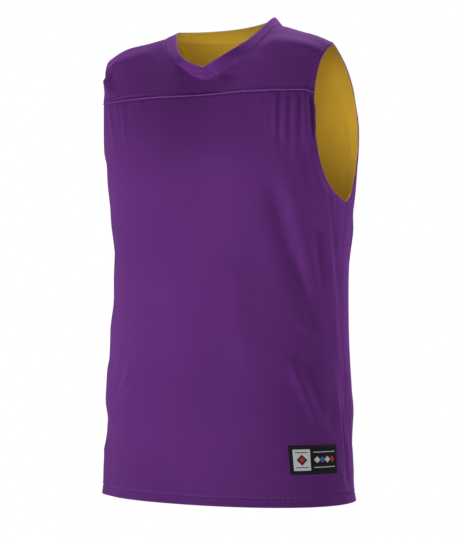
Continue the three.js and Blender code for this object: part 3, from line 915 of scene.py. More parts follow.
def make_sheet(name, points, uv, edge, thickness=KNIT, inward=True):
    """A sheet of cloth from a grid of points, given its thickness and smoothed."""
    rows, columns = points.shape[:2]
    piece = make_mesh(name, points, grid_faces(columns, rows), uv, edge)
    select_only(piece)
    solidify = piece.modifiers.new("thickness", "SOLIDIFY")
    solidify.thickness = thickness * MM
    solidify.offset = -1 if inward else 1
    bpy.ops.object.modifier_apply(modifier=solidify.name)
    bpy.ops.object.shade_smooth_by_angle(angle=50 * DEGREE)
    return piece


def steps(count, start, end):
    return list(np.linspace(start, end, count + 1))


def mirrored(half):
    half = np.unique(np.array(half))
    return np.concatenate([-half[:0:-1], half])


# Columns and rows are closest at the seams and in the gathers
EDGE_COLUMNS = [0.955, 0.963, 0.97, 0.975, 0.979, 0.983, 0.987, 0.991, 0.994, 0.9965, 0.9985, 1]
FRONT_COLUMNS = mirrored(steps(18, 0, 0.28) + steps(60, 0.28, 0.68) + steps(16, 0.68, 0.95) + EDGE_COLUMNS)
HEM_LEVELS = [1.2, 3, 5, 7, 8.8, 10.2, 11.2, 12, 12.7, 13.3, 13.9, 14.6, 15.4, 16.4, 17.6, 19.2, 21, 24, 28]
HEM_ROWS = [level * ARMPIT_V / ARMPIT_HEIGHT for level in HEM_LEVELS]
TOP_ROWS = [0.975, 0.982, 0.987, 0.991, 0.994, 0.9965, 0.9985, 1, 1.003, 1.006]
FRONT_ROWS = HEM_ROWS + steps(64, 0.045, ARMPIT_V) + steps(46, ARMPIT_V, 0.965)[1:] + TOP_ROWS
YOKE_COLUMNS = mirrored(steps(60, 0, NECK_U) + steps(22, NECK_U, 0.95) + EDGE_COLUMNS)
YOKE_BOTTOM_ROWS = [0, 0.004, 0.008, 0.013, 0.018, 0.024, 0.03, 0.037, 0.045, 0.055, 0.068]
YOKE_TOP_ROWS = [0.93, 0.945, 0.955, 0.965, 0.973, 0.98, 0.986, 0.992, 0.996, 1]
YOKE_ROWS = YOKE_BOTTOM_ROWS + steps(34, 0.085, 0.915) + YOKE_TOP_ROWS
BACK_COLUMNS = mirrored(steps(60, 0, NECK_U) + steps(30, NECK_U, 0.95) + EDGE_COLUMNS)
BACK_TOP_ROWS = [0.985, 0.989, 0.992, 0.9945, 0.9965, 0.998, 0.999, 1]
BACK_ROWS = HEM_ROWS + steps(64, 0.045, ARMPIT_V) + steps(68, ARMPIT_V, 0.98)[1:] + BACK_TOP_ROWS

# The hem's turned-up edge, from its raw edge inside down to the fold: row and inward share
TURN_UP = table(
    ["level", "inside"],
    [
        [13, 1],
        [11, 1],
        [8, 1],
        [4, 1],
        [1.6, 1],
        [0.5, 0.88],
        [0.1, 0.68],
        [0, 0.5],
        [0.1, 0.32],
        [0.5, 0.12],
    ],
)


# Cut edges are turned in: the edge is repeated further in, at each of these depths
TURNED_IN = [0.3, 0.65, 1.0]
SIDE_TURN_SHARE = 0.55


def with_turned_edges(angle, level, lift):
    """Adds the turned-in edges at both sides and at the top of a panel, shallower at the side seams."""
    count = len(TURNED_IN)
    turn = np.array(TURNED_IN)
    across = [(0, 0), (count, count)]
    angle, level = np.pad(angle, across, "edge"), np.pad(level, across, "edge")
    lift = np.pad(lift, across, "edge")
    depth = lerp(SIDE_TURN_SHARE, 1, smooth((level[:, :count] - ARMPIT_HEIGHT + 8) / 8))
    lift[:, :count] -= depth * turn[::-1]
    lift[:, -count:] -= depth * turn
    up = [(0, count), (0, 0)]
    angle, level, lift = np.pad(angle, up, "edge"), np.pad(level, up, "edge"), np.pad(lift, up, "edge")
    lift[-count:] -= turn[:, None]
    return angle, level, lift


def cloth_uv(angle, level, centre):
    """Place on the flat cloth in mm: across from the panel's centre, and up."""
    return np.stack([(angle - centre) * FULL_GIRTH / (2 * math.pi), level], -1)


def outer_panel(name, part, panel, columns, rows):
    """A purple panel. One with a hem starts inside at the turned-up edge and comes round the fold."""
    u, v = np.meshgrid(columns, rows)
    angle, level = panel.place(u, v)
    lift = np.zeros(level.shape)
    if part != "yoke":
        turned_v = TURN_UP["level"] * ARMPIT_V / ARMPIT_HEIGHT
        turned_u, turned_v = np.meshgrid(columns, turned_v)
        turned_angle, turned_level = panel.place(turned_u, turned_v)
        inside = np.broadcast_to(TURN_UP["inside"][:, None], turned_level.shape)
        angle = np.concatenate([turned_angle, angle])
        level = np.concatenate([turned_level, level])
        lift = np.concatenate([HEM_INSIDE * inside, lift])
    angle, level, lift = with_turned_edges(angle, level, lift)
    points, _, edge = outer_cloth(part, angle, level, lift)
    return make_sheet(name, points, cloth_uv(angle, level, panel.centre), edge)


def lining_back():
    columns = mirrored(steps(34, 0, NECK_U) + steps(22, NECK_U, 0.95) + EDGE_COLUMNS)
    rows = steps(60, LINING_HEM * ARMPIT_V / ARMPIT_HEIGHT, ARMPIT_V)
    rows = rows + steps(60, ARMPIT_V, 0.98)[1:] + BACK_TOP_ROWS
    u, v = np.meshgrid(columns, rows)
    angle, level = LINING_BACK.place(u, v)
    points, _, edge = lining_cloth("back_lining", angle, level, lining_clearance(u, v))
    return make_sheet("back_lining", points, cloth_uv(angle, level, math.pi), edge, inward=False)


def lining_clearance(u, v):
    """The lining hangs clear of the outer cloth between the edges where they are sewn together."""
    inside = smooth((1 - np.abs(u)) / 0.25) * smooth((1 - v) / 0.12)
    return NECK_EASE * smooth((v - 0.8) / 0.2) + LINING_CLEARANCE * inside


FRONT_SHARE = 0.7


def lining_front():
    """The front lining, one piece from hem to shoulder, laid out over the front and the yoke."""
    columns = mirrored(steps(40, 0, NECK_U) + steps(22, NECK_U, 0.95) + EDGE_COLUMNS)
    below = steps(60, LINING_HEM * ARMPIT_V / ARMPIT_HEIGHT, ARMPIT_V) + steps(30, ARMPIT_V, 1)[1:]
    above = steps(30, 0, 0.93)[1:] + YOKE_TOP_ROWS
    parts = []
    for panel, part, rows, start, end in [
        (FRONT, "front_lining", below, 0, FRONT_SHARE),
        (YOKE, "yoke_lining", above, FRONT_SHARE, 1),
    ]:
        u, v = np.meshgrid(columns, rows)
        angle, level = panel.place(u, v)
        whole = lerp(start, end, v)
        points, _, edge = lining_cloth(part, angle, level, lining_clearance(u, whole))
        parts.append((points, cloth_uv(angle, level, 0), edge))
    points, uv, edge = [np.concatenate(kind) for kind in zip(*parts)]
    return make_sheet("front_lining", points, uv, edge, inward=False)


# Collar band. The step runs from the V up the wearer's left, round the back and down to the V
# again, and then on over the lap, where the wearer's right end crosses the left one.
def band_point(step, share):
    step, share = np.broadcast_arrays(np.asarray(step, float), np.asarray(share, float))
    is_left = step <= NECK_BACK_STEP
    at = np.where(is_left, step, BAND_END - step)
    at = np.clip(at, 0, NECK_BACK_STEP)
    side = np.where(is_left, 1, -1)
    seam = settled_neck_seam(side * seam_x(at), at <= NECK_SIDE_STEP)
    rim = np.stack([side * rim_x(at), rim_y(at), rim_z(at)], -1)
    rim[..., 2] += RIM_TILT * rim[..., 0] - RIM_DROP * (rim_x(at) / RIM_HALF_WIDTH) ** 2
    rim[..., 0] -= RIM_SHIFT * (rim_x(at) / RIM_HALF_WIDTH) ** 2
    reach = np.clip(step - BAND_END, 0, 1)
    front = np.full(step.shape, True)
    lap_seam = settled_neck_seam(2 * reach, front)
    v_rim = np.array([0, NECK["rim_y"][0], NECK["rim_z"][0]])
    lap_rim = lerp(v_rim, settled_neck_seam(np.full(step.shape, float(LAP_REACH)), front), reach[..., None])
    is_lap = (step > BAND_END)[..., None]
    return np.where(is_lap, lerp(lap_seam, lap_rim, share[..., None]), lerp(seam, rim, share[..., None]))


def band_normal(step, share):
    return normal_to(band_point, step, share, 0.02, 0.05, 1.1)


def lap_rise(step):
    return LAP_RISE * smooth((step - BAND_END + LAP_STEPS) / LAP_STEPS)


BAND_WIDTH = 19
BAND_STEP_LENGTH = 23
BAND_CREASES = table(
    ["step", "lean", "width", "rise"],
    [
        [1.1, 0.5, 0.10, 0.5],
        [1.45, 0.6, 0.12, 0.6],
        [1.9, 0.6, 0.12, 0.45],
        [2.6, 0.5, 0.15, -0.3],
        [5.2, -0.3, 0.2, 0.35],
        [8.8, 0.2, 0.16, -0.4],
        [9.5, 0.3, 0.14, 0.35],
        [13.6, -0.3, 0.18, -0.35],
        [14.9, 0.4, 0.16, 0.45],
        [15.5, 0.3, 0.16, -0.45],
        [16.3, 0.4, 0.2, 0.4],
        [18.6, 0.3, 0.2, -0.3],
        [22.4, -0.6, 0.14, 0.4],
        [23.1, -0.6, 0.12, -0.4],
    ],
)


def band_relief(step, share):
    """Relief of the band: padded between its seam and rim, with a few leaning creases."""
    up = share * BAND_WIDTH
    relief = 0.5 * smooth(up / 2.5) * smooth((BAND_WIDTH - up) / 3) - 0.35 * np.exp(-((up / 0.9) ** 2))
    for row in range(len(BAND_CREASES["step"])):
        aside = step - BAND_CREASES["step"][row] - BAND_CREASES["lean"][row] * (share - 0.5)
        ridge = np.exp(-((aside / BAND_CREASES["width"][row]) ** 2))
        reach = smooth(share / 0.2) * smooth((1.1 - share) / 0.3)
        relief = relief + BAND_CREASES["rise"][row] * ridge * reach
    from_point = np.minimum(step, np.abs(BAND_END - step))
    pinched = np.exp(-(((from_point - 0.35) / 0.9) ** 2)) * smooth(share / 0.15) * smooth((1 - share) / 0.15)
    relief = relief + 0.42 * pinched * np.cos(2 * math.pi * (2.6 * share + 0.35 * from_point))
    return relief + 0.08 * wobble(step * BAND_STEP_LENGTH, 6.0) * np.exp(-((up / 5) ** 2))


BAND_SHARES = [0.02, 0.04, 0.06, 0.1, 0.15] + steps(9, 0.22, 0.88) + [0.93, 0.965, 0.985, 1]
RIM_ROLL = table(["share", "lift"], [[1.02, -0.15], [1.03, -0.45], [1.02, -0.75], [0.99, -0.9]])
BAND_TUCK = table(
    ["share", "lift"],
    [
        [-0.11, -1.65],
        [-0.05, -1.6],
        [-0.01, -1.4],
        [0.0, -0.7],
        [0.01, -0.2],
    ],
)


def collar_band():
    """The purple band. At its rim it rolls over to the inside."""
    round_neck = np.linspace(0.02, BAND_END, 260)
    over_lap = np.linspace(BAND_END, BAND_END + 1, 14)[1:]
    band_steps = np.concatenate([round_neck, over_lap])
    shares = np.concatenate([BAND_TUCK["share"], BAND_SHARES, RIM_ROLL["share"]])
    lifts = np.concatenate([BAND_TUCK["lift"], np.zeros(len(BAND_SHARES)), RIM_ROLL["lift"]])
    step, share = np.meshgrid(band_steps, shares)
    lift = 0.6 + lifts[:, None] + band_relief(step, share) + lap_rise(step)
    points = band_point(step, share) + band_normal(step, share) * lift[..., None]
    uv = np.stack([step * BAND_STEP_LENGTH, share * BAND_WIDTH], -1)
    edge = np.exp(-(((share - 1) / 0.06) ** 2)) + 0.6 * np.exp(-((share / 0.05) ** 2))
    return make_sheet("collar_band", points, uv, np.clip(edge, 0, 1))


LINING_BAND_SHARES = [-0.12, -0.06, 0.0, 0.03, 0.07, 0.12, 0.2, 0.32, 0.45, 0.6, 0.75, 0.87, 0.94, 0.98, 1.0]


def collar_lining():
    """The gold inner side of the band."""
    band_steps = np.linspace(0.02, BAND_END - 0.02, 260)
    step, share = np.meshgrid(band_steps, LINING_BAND_SHARES)
    lift = -2.3 - 1.2 * band_relief(step, share) + 0.7 * smooth((share - 0.9) / 0.1)
    points = band_point(step, share) + band_normal(step, share) * lift[..., None]
    uv = np.stack([step * BAND_STEP_LENGTH, share * BAND_WIDTH], -1)
    edge = np.exp(-(((share - 1) / 0.06) ** 2))
    return make_sheet("collar_lining", points, uv, edge, inward=False)


def hem_label():
    """The woven label, which follows the front."""
    across = np.linspace(LABEL["from_girth"], LABEL["to_girth"], 53)
    girth, level = np.meshgrid(across, np.linspace(LABEL["bottom"], LABEL["top"], 29))
    share = (girth - LABEL["from_girth"]) / (LABEL["to_girth"] - LABEL["from_girth"])
    up = (level - LABEL["bottom"]) / (LABEL["top"] - LABEL["bottom"])
    angle = angle_at_girth(girth + LABEL["lean"] * (1 - share) * (1 - up))
    to_side = np.minimum(girth - LABEL["from_girth"], LABEL["to_girth"] - girth)
    to_end = np.minimum(level - LABEL["bottom"], LABEL["top"] - level)
    inset = np.minimum(to_side, to_end)
    lift = LABEL["lift"] + 0.75 * smooth(inset / 1.2) + groove(inset - LABEL_STITCH, 0.2, 0.7)
    points, _, _ = outer_cloth("front", angle, level, lift)
    uv = np.stack([girth - LABEL["from_girth"], level - LABEL["bottom"]], -1)
    return make_sheet("woven_hem_label", points, uv, np.zeros(girth.shape), 0.55)


# Sewing. One stitch is modelled, and copies of it are laid along each row
def select_stitch_end(stitch, end):
    bpy.ops.mesh.select_all(action="DESELECT")
    strand = bmesh.from_edit_mesh(stitch.data)
    for vertex in strand.verts:
        vertex.select_set(end * vertex.co.x > STITCH_LENGTH * 0.4)
    strand.select_flush(True)
    bmesh.update_edit_mesh(stitch.data)


def model_stitch():
    """One visible stitch of thread: a rounded strand whose ends dip into the cloth. In mm, along X."""
    bpy.ops.mesh.primitive_cylinder_add(
        vertices=6, radius=THREAD / 2, depth=STITCH_LENGTH, rotation=(0, math.pi / 2, 0)
    )
    stitch = bpy.context.object
    bpy.ops.object.transform_apply(location=False, rotation=True, scale=False)
    bpy.ops.object.mode_set(mode="EDIT")
    for end in (-1, 1):
        bpy.ops.mesh.select_all(action="SELECT")
        bpy.ops.mesh.bisect(plane_co=(end * STITCH_LENGTH * 0.3, 0, 0), plane_no=(1, 0, 0))
    for end in (-1, 1):
        select_stitch_end(stitch, end)
        bpy.ops.transform.resize(value=(1, 0.55, 0.55))
        bpy.ops.transform.translate(value=(0, 0, -THREAD * 0.75))
    bpy.ops.mesh.select_all(action="SELECT")
    bpy.ops.mesh.normals_make_consistent(inside=False)
    bpy.ops.object.mode_set(mode="OBJECT")
    points = np.array([v.co for v in stitch.data.vertices])
    faces = [list(p.vertices) for p in stitch.data.polygons]
    bpy.data.objects.remove(stitch, do_unlink=True)
    return points, faces


def between(at, run, values):
    """Vectors read off between the points of a row."""
    return np.stack([np.interp(at, run, values[:, axis]) for axis in range(3)], -1)


def sew(name, rows):
    """Copies of the stitch along rows of (points, normals), joined in one mesh."""
    stitch, stitch_faces = model_stitch()
    places, frames = [], []
    for points, normals in rows:
        run = run_along(points)
        at = np.arange(STITCH_PITCH / 2, run[-1], STITCH_PITCH)
        along = unit(between(at + 1, run, points) - between(at - 1, run, points))
        side = unit(np.cross(unit(between(at, run, normals)), along))
        places.append(between(at, run, points))
        frames.append(np.stack([along, side, np.cross(along, side)], 1))
    places, frames = np.concatenate(places), np.concatenate(frames)
    points = places[:, None, :] + np.einsum("vk,nkc->nvc", stitch, frames)
    faces = [[i + n * len(stitch) for i in face] for n in range(len(places)) for face in stitch_faces]
    piece = make_mesh(name, points, faces)
    select_only(piece)
    bpy.ops.object.shade_smooth_by_angle(angle=60 * DEGREE)
    return piece


def dot(first, second):
    return (first * second).sum(-1)


def beside(angle, level, offset):
    """Angles and levels of a line moved aside on the smooth body, to the left of its run if positive."""
    points = body_point(angle, level)
    normals = normal_to(body_point, angle, level, 0.01, 0.5, RIDGE_LEVEL)
    move = np.cross(normals, unit(np.gradient(points, axis=0))) * offset
    by_angle = (body_point(angle + 0.005, level) - body_point(angle - 0.005, level)) / 0.01
    low = np.minimum(level, RIDGE_LEVEL - 0.6)
    by_level = body_point(angle, low + 0.5) - body_point(angle, low - 0.5)
    # The move as so much of each of the two directions on the cloth
    long, tall, skew = dot(by_angle, by_angle), dot(by_level, by_level), dot(by_angle, by_level)
    ahead, up = dot(by_angle, move), dot(by_level, move)
    whole = long * tall - skew * skew
    return angle + (ahead * tall - up * skew) / whole, level + (up * long - ahead * skew) / whole


def stitch_row(part, angle, level, offset=0.0, lining=False):
    """Points and normals of a row of stitches on one side of the cloth."""
    if offset:
        angle, level = beside(angle, level, offset)
    level = np.minimum(level, SHOULDER_SEAM_LEVEL)
    if lining:
        points, normals, _ = lining_cloth(part, angle, level, np.full(np.shape(angle), EDGE_CLEARANCE))
        return points - normals * (KNIT + THREAD * THREAD_PROUD), -normals
    points, normals, _ = outer_cloth(part, angle, level)
    return points + normals * THREAD * THREAD_PROUD, normals


def armhole_rows(lining):
    """The topstitching round both armholes, on the outside or the lining."""
    rows = []
    suffix = "_lining" if lining else ""
    for part, edge, middle, first_step, last_step in [
        ("front" + suffix, FRONT_EDGE, 0, 0.25, YOKE_STEP - 0.05),
        ("yoke" + suffix, FRONT_EDGE, 0, YOKE_STEP + 0.1, ARMHOLE_STEPS - 0.1),
        ("back" + suffix, BACK_EDGE, math.pi, 0.2, ARMHOLE_STEPS - 0.1),
    ]:
        for side in SIDES:
            step = np.linspace(first_step, last_step, 200)
            angle = middle + side * edge.angle(step)
            rows.append(stitch_row(part, angle, edge.level(step), side * ARMHOLE_STITCH, lining))
    return rows


def hem_rows():
    """Two rows of needle stitches that hold the turned-up hem, all round."""
    rows = []
    for level in (HEM_TURN, HEM_TURN - 3.2):
        for part, middle in (("front", 0), ("back", math.pi)):
            angle = middle + np.linspace(-0.497, 0.497, 420) * math.pi
            rows.append(stitch_row(part, angle, np.full(angle.shape, float(level))))
    return rows


def yoke_rows():
    """One row just above the yoke's folded edge."""
    angle = np.linspace(-0.97, 0.97, 260) * FRONT_EDGE.angle(YOKE_STEP)
    level = level_at_height(np.abs(angle), YOKE_HEIGHT + YOKE_STITCH + 0.6)
    return [stitch_row("yoke", angle, level)]


def neck_row(part, lining):
    is_front = not part.startswith("back")
    x = np.linspace(NECK_HALF_WIDTH - 2, -NECK_HALF_WIDTH + 2, 220)
    height = front_neck_height(x) if is_front else back_neck_height(x)
    angle, level = place_of(x, height - COLLAR_STITCH * (1.1 if is_front else 1.0), is_front)
    angle = np.where(x < 0, -angle, angle)
    return stitch_row(part, angle if is_front else math.pi - angle, level, 0.0, lining)


def collar_rows(lining):
    """One row beside the collar seam, on the body, all round the neck."""
    suffix = "_lining" if lining else ""
    return [neck_row("yoke" + suffix, lining), neck_row("back" + suffix, lining)]


def label_rows():
    """Stitches round the label's border."""
    left, right = LABEL["from_girth"] + LABEL_STITCH, LABEL["to_girth"] - LABEL_STITCH
    bottom, top = LABEL["bottom"] + LABEL_STITCH, LABEL["top"] - LABEL_STITCH
    rows = []
    for start, end in [
        ((left, bottom), (right, bottom)),
        ((right, bottom), (right, top)),
        ((right, top), (left, top)),
        ((left, top), (left, bottom)),
    ]:
        girth = np.linspace(start[0], end[0], 40)
        level = np.linspace(start[1], end[1], 40)
        lift = LABEL["lift"] + 0.6
        points, normals, _ = outer_cloth("front", angle_at_girth(girth), level, lift)
        rows.append((points + normals * THREAD * THREAD_PROUD, normals))
    return rows


# Materials. The groups put out heights, masks and colours; each material holds its own shader
def new_group(name, inputs, outputs):
    group = bpy.data.node_groups.new(name, "ShaderNodeTree")
    for socket, kind, value in inputs:
        made = group.interface.new_socket(socket, in_out="INPUT", socket_type=kind)
        if value is not None:
            made.default_value = value
    for socket, kind in outputs:
        group.interface.new_socket(socket, in_out="OUTPUT", socket_type=kind)
    return group, group.nodes.new("NodeGroupInput"), group.nodes.new("NodeGroupOutput")


FLOAT, VECTOR = "NodeSocketFloat", "NodeSocketVector"


def link(tree, source, target):
    """Joins two sockets, or sets the target where the source is a plain value."""
    if isinstance(source, bpy.types.NodeSocket):
        tree.links.new(source, target)
    else:
        target.default_value = source


def calc(tree, operation, first, second=None, third=None):
    """The result of a Math node."""
    node = tree.nodes.new("ShaderNodeMath")
    node.operation = operation
    for index, value in enumerate((first, second, third)):
        if value is not None:
            link(tree, value, node.inputs[index])
    return node.outputs[0]


def mix_colour(tree, factor, first, second):
    node = tree.nodes.new("ShaderNodeMix")
    node.data_type = "RGBA"
    link(tree, factor, node.inputs["Factor"])
    link(tree, first, node.inputs["A"])
    link(tree, second, node.inputs["B"])
    return node.outputs["Result"]


def noise(tree, vector, scale, detail=2.0):
    node = tree.nodes.new("ShaderNodeTexNoise")
    node.inputs["Scale"].default_value = scale
    node.inputs["Detail"].default_value = detail
    tree.links.new(vector, node.inputs["Vector"])
    return node.outputs["Fac"]


def stretched(tree, vector, scale):
    node = tree.nodes.new("ShaderNodeMapping")
    node.inputs["Scale"].default_value = scale
    tree.links.new(vector, node.inputs["Vector"])
    return node.outputs["Vector"]


def knit_group():
    """Loops of a fine knit on flat cloth coordinates in metres: wales run up, courses across."""
    group, inputs, outputs = new_group(
        "knit_loops",
        [("Cloth", VECTOR, None), ("Wale", FLOAT, 0.0009), ("Course", FLOAT, 0.0007)],
        [("Height", FLOAT), ("Gap", FLOAT)],
    )
    parts = group.nodes.new("ShaderNodeSeparateXYZ")
    group.links.new(inputs.outputs["Cloth"], parts.inputs[0])
    across = calc(group, "DIVIDE", parts.outputs["X"], inputs.outputs["Wale"])
    up = calc(group, "DIVIDE", parts.outputs["Y"], inputs.outputs["Course"])
    bow = calc(group, "PINGPONG", across, 0.5)
    leaning = calc(group, "ADD", up, calc(group, "MULTIPLY", bow, 1.2))
    wale = calc(group, "ABSOLUTE", calc(group, "SINE", calc(group, "MULTIPLY", across, math.pi)))
    course = calc(group, "ABSOLUTE", calc(group, "SINE", calc(group, "MULTIPLY", leaning, math.pi)))
    rounded_wale = calc(group, "POWER", wale, 0.6)
    height = calc(group, "MULTIPLY", rounded_wale, calc(group, "MULTIPLY_ADD", course, 0.5, 0.5))
    group.links.new(height, outputs.inputs["Height"])
    gap = calc(group, "SUBTRACT", 1.0, height)
    group.links.new(calc(group, "POWER", gap, 2.0), outputs.inputs["Gap"])
    return group


def variation_group():
    """Slow unevenness of dye and finish, and a fine fuzz, on object coordinates."""
    group, inputs, outputs = new_group(
        "cloth_variation", [("Place", VECTOR, None)], [("Slow", FLOAT), ("Fine", FLOAT), ("Rumple", FLOAT)]
    )
    place = inputs.outputs["Place"]
    group.links.new(noise(group, place, 7.0, 3.0), outputs.inputs["Slow"])
    group.links.new(noise(group, place, 900.0, 2.0), outputs.inputs["Fine"])
    rumple = noise(group, stretched(group, place, (1.0, 1.0, 0.45)), 42.0, 3.0)
    group.links.new(rumple, outputs.inputs["Rumple"])
    return group


def field_group():
    """A rectangular field on the label: 1 inside and 0 outside."""
    sides = [("Left", FLOAT, 0), ("Right", FLOAT, 1), ("Bottom", FLOAT, 0), ("Top", FLOAT, 1)]
    group, inputs, outputs = new_group(
        "label_field", [("Across", FLOAT, 0), ("Up", FLOAT, 0)] + sides, [("Field", FLOAT)]
    )
    get = inputs.outputs
    over_left = calc(group, "GREATER_THAN", get["Across"], get["Left"])
    under_right = calc(group, "LESS_THAN", get["Across"], get["Right"])
    over_bottom = calc(group, "GREATER_THAN", get["Up"], get["Bottom"])
    under_top = calc(group, "LESS_THAN", get["Up"], get["Top"])
    wide = calc(group, "MULTIPLY", over_left, under_right)
    tall = calc(group, "MULTIPLY", over_bottom, under_top)
    group.links.new(calc(group, "MULTIPLY", wide, tall), outputs.inputs["Field"])
    return group


def lozenge_group():
    """A lozenge on the label: 1 inside and 0 outside."""
    group, inputs, outputs = new_group(
        "label_lozenge",
        [("Across", FLOAT, 0), ("Up", FLOAT, 0), ("X", FLOAT, 0), ("Y", FLOAT, 0), ("Reach", FLOAT, 0.004)],
        [("Field", FLOAT)],
    )
    get = inputs.outputs
    aside = calc(group, "ABSOLUTE", calc(group, "SUBTRACT", get["Across"], get["X"]))
    above = calc(group, "ABSOLUTE", calc(group, "SUBTRACT", get["Up"], get["Y"]))
    within = calc(group, "LESS_THAN", calc(group, "ADD", aside, above), get["Reach"])
    group.links.new(within, outputs.inputs["Field"])
    return group


KNIT_LOOPS = knit_group()
VARIATION = variation_group()
FIELD = field_group()
LOZENGE = lozenge_group()


def use_group(tree, group, **values):
    node = tree.nodes.new("ShaderNodeGroup")
    node.node_tree = group
    for name, value in values.items():
        link(tree, value, node.inputs[name])
    return node.outputs


def new_material(name):
    material = bpy.data.materials.new(name)
    material.use_nodes = True
    tree = material.node_tree
    tree.nodes.clear()
    shader = tree.nodes.new("ShaderNodeBsdfPrincipled")
    output = tree.nodes.new("ShaderNodeOutputMaterial")
    tree.links.new(shader.outputs["BSDF"], output.inputs["Surface"])
    return material, tree, shader


def bump(tree, height, strength, distance, normal=None):
    node = tree.nodes.new("ShaderNodeBump")
    node.inputs["Strength"].default_value = strength
    node.inputs["Distance"].default_value = distance
    tree.links.new(height, node.inputs["Height"])
    if normal is not None:
        tree.links.new(normal, node.inputs["Normal"])
    return node.outputs["Normal"]


def cloth_coordinates(tree):
    uv = tree.nodes.new("ShaderNodeUVMap")
    uv.uv_map = "cloth"
    place = tree.nodes.new("ShaderNodeTexCoord")
    return uv.outputs["UV"], place.outputs["Object"]


def knit_material(name, colours, wale, course, gloss, depth):
    """A knitted cloth: its colour, loops, slow variation, painted shade in the gaps between loops and a
    painted highlight along its edges.
    """
    material, tree, shader = new_material(name)
    cloth, place = cloth_coordinates(tree)
    loops = use_group(tree, KNIT_LOOPS, Cloth=cloth, Wale=wale, Course=course)
    vary = use_group(tree, VARIATION, Place=place)
    slow = calc(tree, "MULTIPLY_ADD", vary["Slow"], 1.6, -0.3)
    base = mix_colour(tree, slow, colours["deep"], colours["main"])
    # Darker in the gaps between the loops: painted shade.
    base = mix_colour(tree, calc(tree, "MULTIPLY", loops["Gap"], gloss["gap_shade"]), base, colours["gap"])
    # Paler along folded and sewn edges: a painted highlight where raised edges catch the light.
    edge = tree.nodes.new("ShaderNodeAttribute")
    edge.attribute_name = "edge"
    worn = calc(tree, "MULTIPLY", edge.outputs["Fac"], 0.55)
    base = mix_colour(tree, worn, base, colours["worn"])
    tree.links.new(base, shader.inputs["Base Color"])
    rough = calc(tree, "MULTIPLY_ADD", vary["Fine"], 0.16, gloss["roughness"] - 0.08)
    tree.links.new(rough, shader.inputs["Roughness"])
    shader.inputs["Specular IOR Level"].default_value = gloss["specular"]
    shader.inputs["Specular Tint"].default_value = colours["sheen"]
    shader.inputs["Sheen Weight"].default_value = gloss["sheen"]
    shader.inputs["Sheen Roughness"].default_value = 0.42
    shader.inputs["Sheen Tint"].default_value = colours["sheen"]
    normal = bump(tree, vary["Rumple"], 0.28, 0.0016)
    normal = bump(tree, loops["Height"], depth, 0.00022, normal)
    tree.links.new(normal, shader.inputs["Normal"])
    return material


def thread_material(name, colour, pale):
    """Spun polyester thread: its twist shows as fine slanted ridges."""
    material, tree, shader = new_material(name)
    _, place = cloth_coordinates(tree)
    twist = noise(tree, stretched(tree, place, (1.0, 1.0, 0.35)), 2600.0, 1.0)
    vary = use_group(tree, VARIATION, Place=place)
    tint = calc(tree, "MULTIPLY_ADD", vary["Slow"], 0.5, 0.2)
    tree.links.new(mix_colour(tree, tint, colour, pale), shader.inputs["Base Color"])
    tree.links.new(calc(tree, "MULTIPLY_ADD", twist, 0.2, 0.32), shader.inputs["Roughness"])
    shader.inputs["Specular IOR Level"].default_value = 0.5
    tree.links.new(bump(tree, twist, 0.5, 0.0001), shader.inputs["Normal"])
    return material


LABEL_BLACK = (0.006, 0.006, 0.007, 1)
LABEL_GREY = (0.60, 0.60, 0.62, 1)
LABEL_RED = (0.42, 0.03, 0.035, 1)
LABEL_BLUE = (0.05, 0.12, 0.34, 1)

# Plain fields of the label, in mm from its lower left corner: left, right, bottom, top, colour
LABEL_FIELDS = [
    (5.5, 31.0, 5.5, 36.5, LABEL_GREY),
    (9.0, 27.5, 9.5, 10.7, LABEL_BLACK),
    (9.0, 27.5, 31.3, 32.5, LABEL_BLACK),
    (36.0, 72.5, 31.5, 32.6, LABEL_GREY),
    (36.0, 72.5, 9.4, 10.5, LABEL_GREY),
]
# Plain lozenges: place across and up, reach, colour
LABEL_LOZENGES = [
    (18.25, 21.0, 8.0, LABEL_BLACK),
    (18.25, 21.0, 5.0, LABEL_RED),
    (41.5, 21.0, 5.0, LABEL_GREY),
    (50.0, 21.0, 5.0, LABEL_BLUE),
    (58.5, 21.0, 5.0, LABEL_GREY),
    (67.0, 21.0, 5.0, LABEL_RED),
]


def label_material():
    """A tight woven label: black ground with plain grey fields and a row of lozenges."""
    material, tree, shader = new_material("label_weave")
    cloth, place = cloth_coordinates(tree)
    parts = tree.nodes.new("ShaderNodeSeparateXYZ")
    tree.links.new(cloth, parts.inputs[0])
    across, up = parts.outputs["X"], parts.outputs["Y"]
    colour = LABEL_BLACK
    for left, right, bottom, top, paint in LABEL_FIELDS:
        sides = {"Left": left * MM, "Right": right * MM, "Bottom": bottom * MM, "Top": top * MM}
        field = use_group(tree, FIELD, Across=across, Up=up, **sides)["Field"]
        colour = mix_colour(tree, field, colour, paint)
    for x, y, reach, paint in LABEL_LOZENGES:
        place_of_it = {"X": x * MM, "Y": y * MM, "Reach": reach * MM}
        field = use_group(tree, LOZENGE, Across=across, Up=up, **place_of_it)["Field"]
        colour = mix_colour(tree, field, colour, paint)
    loops = use_group(tree, KNIT_LOOPS, Cloth=cloth, Wale=0.00055, Course=0.00055)
    vary = use_group(tree, VARIATION, Place=place)
    # Darker in the gaps of the weave: painted shade.
    colour = mix_colour(tree, calc(tree, "MULTIPLY", loops["Gap"], 0.4), colour, (0.012, 0.012, 0.014, 1))
    tree.links.new(colour, shader.inputs["Base Color"])
    tree.links.new(calc(tree, "MULTIPLY_ADD", vary["Fine"], 0.2, 0.6), shader.inputs["Roughness"])
    shader.inputs["Specular IOR Level"].default_value = 0.12
    tree.links.new(bump(tree, loops["Height"], 0.7, 0.00025), shader.inputs["Normal"])
    return material


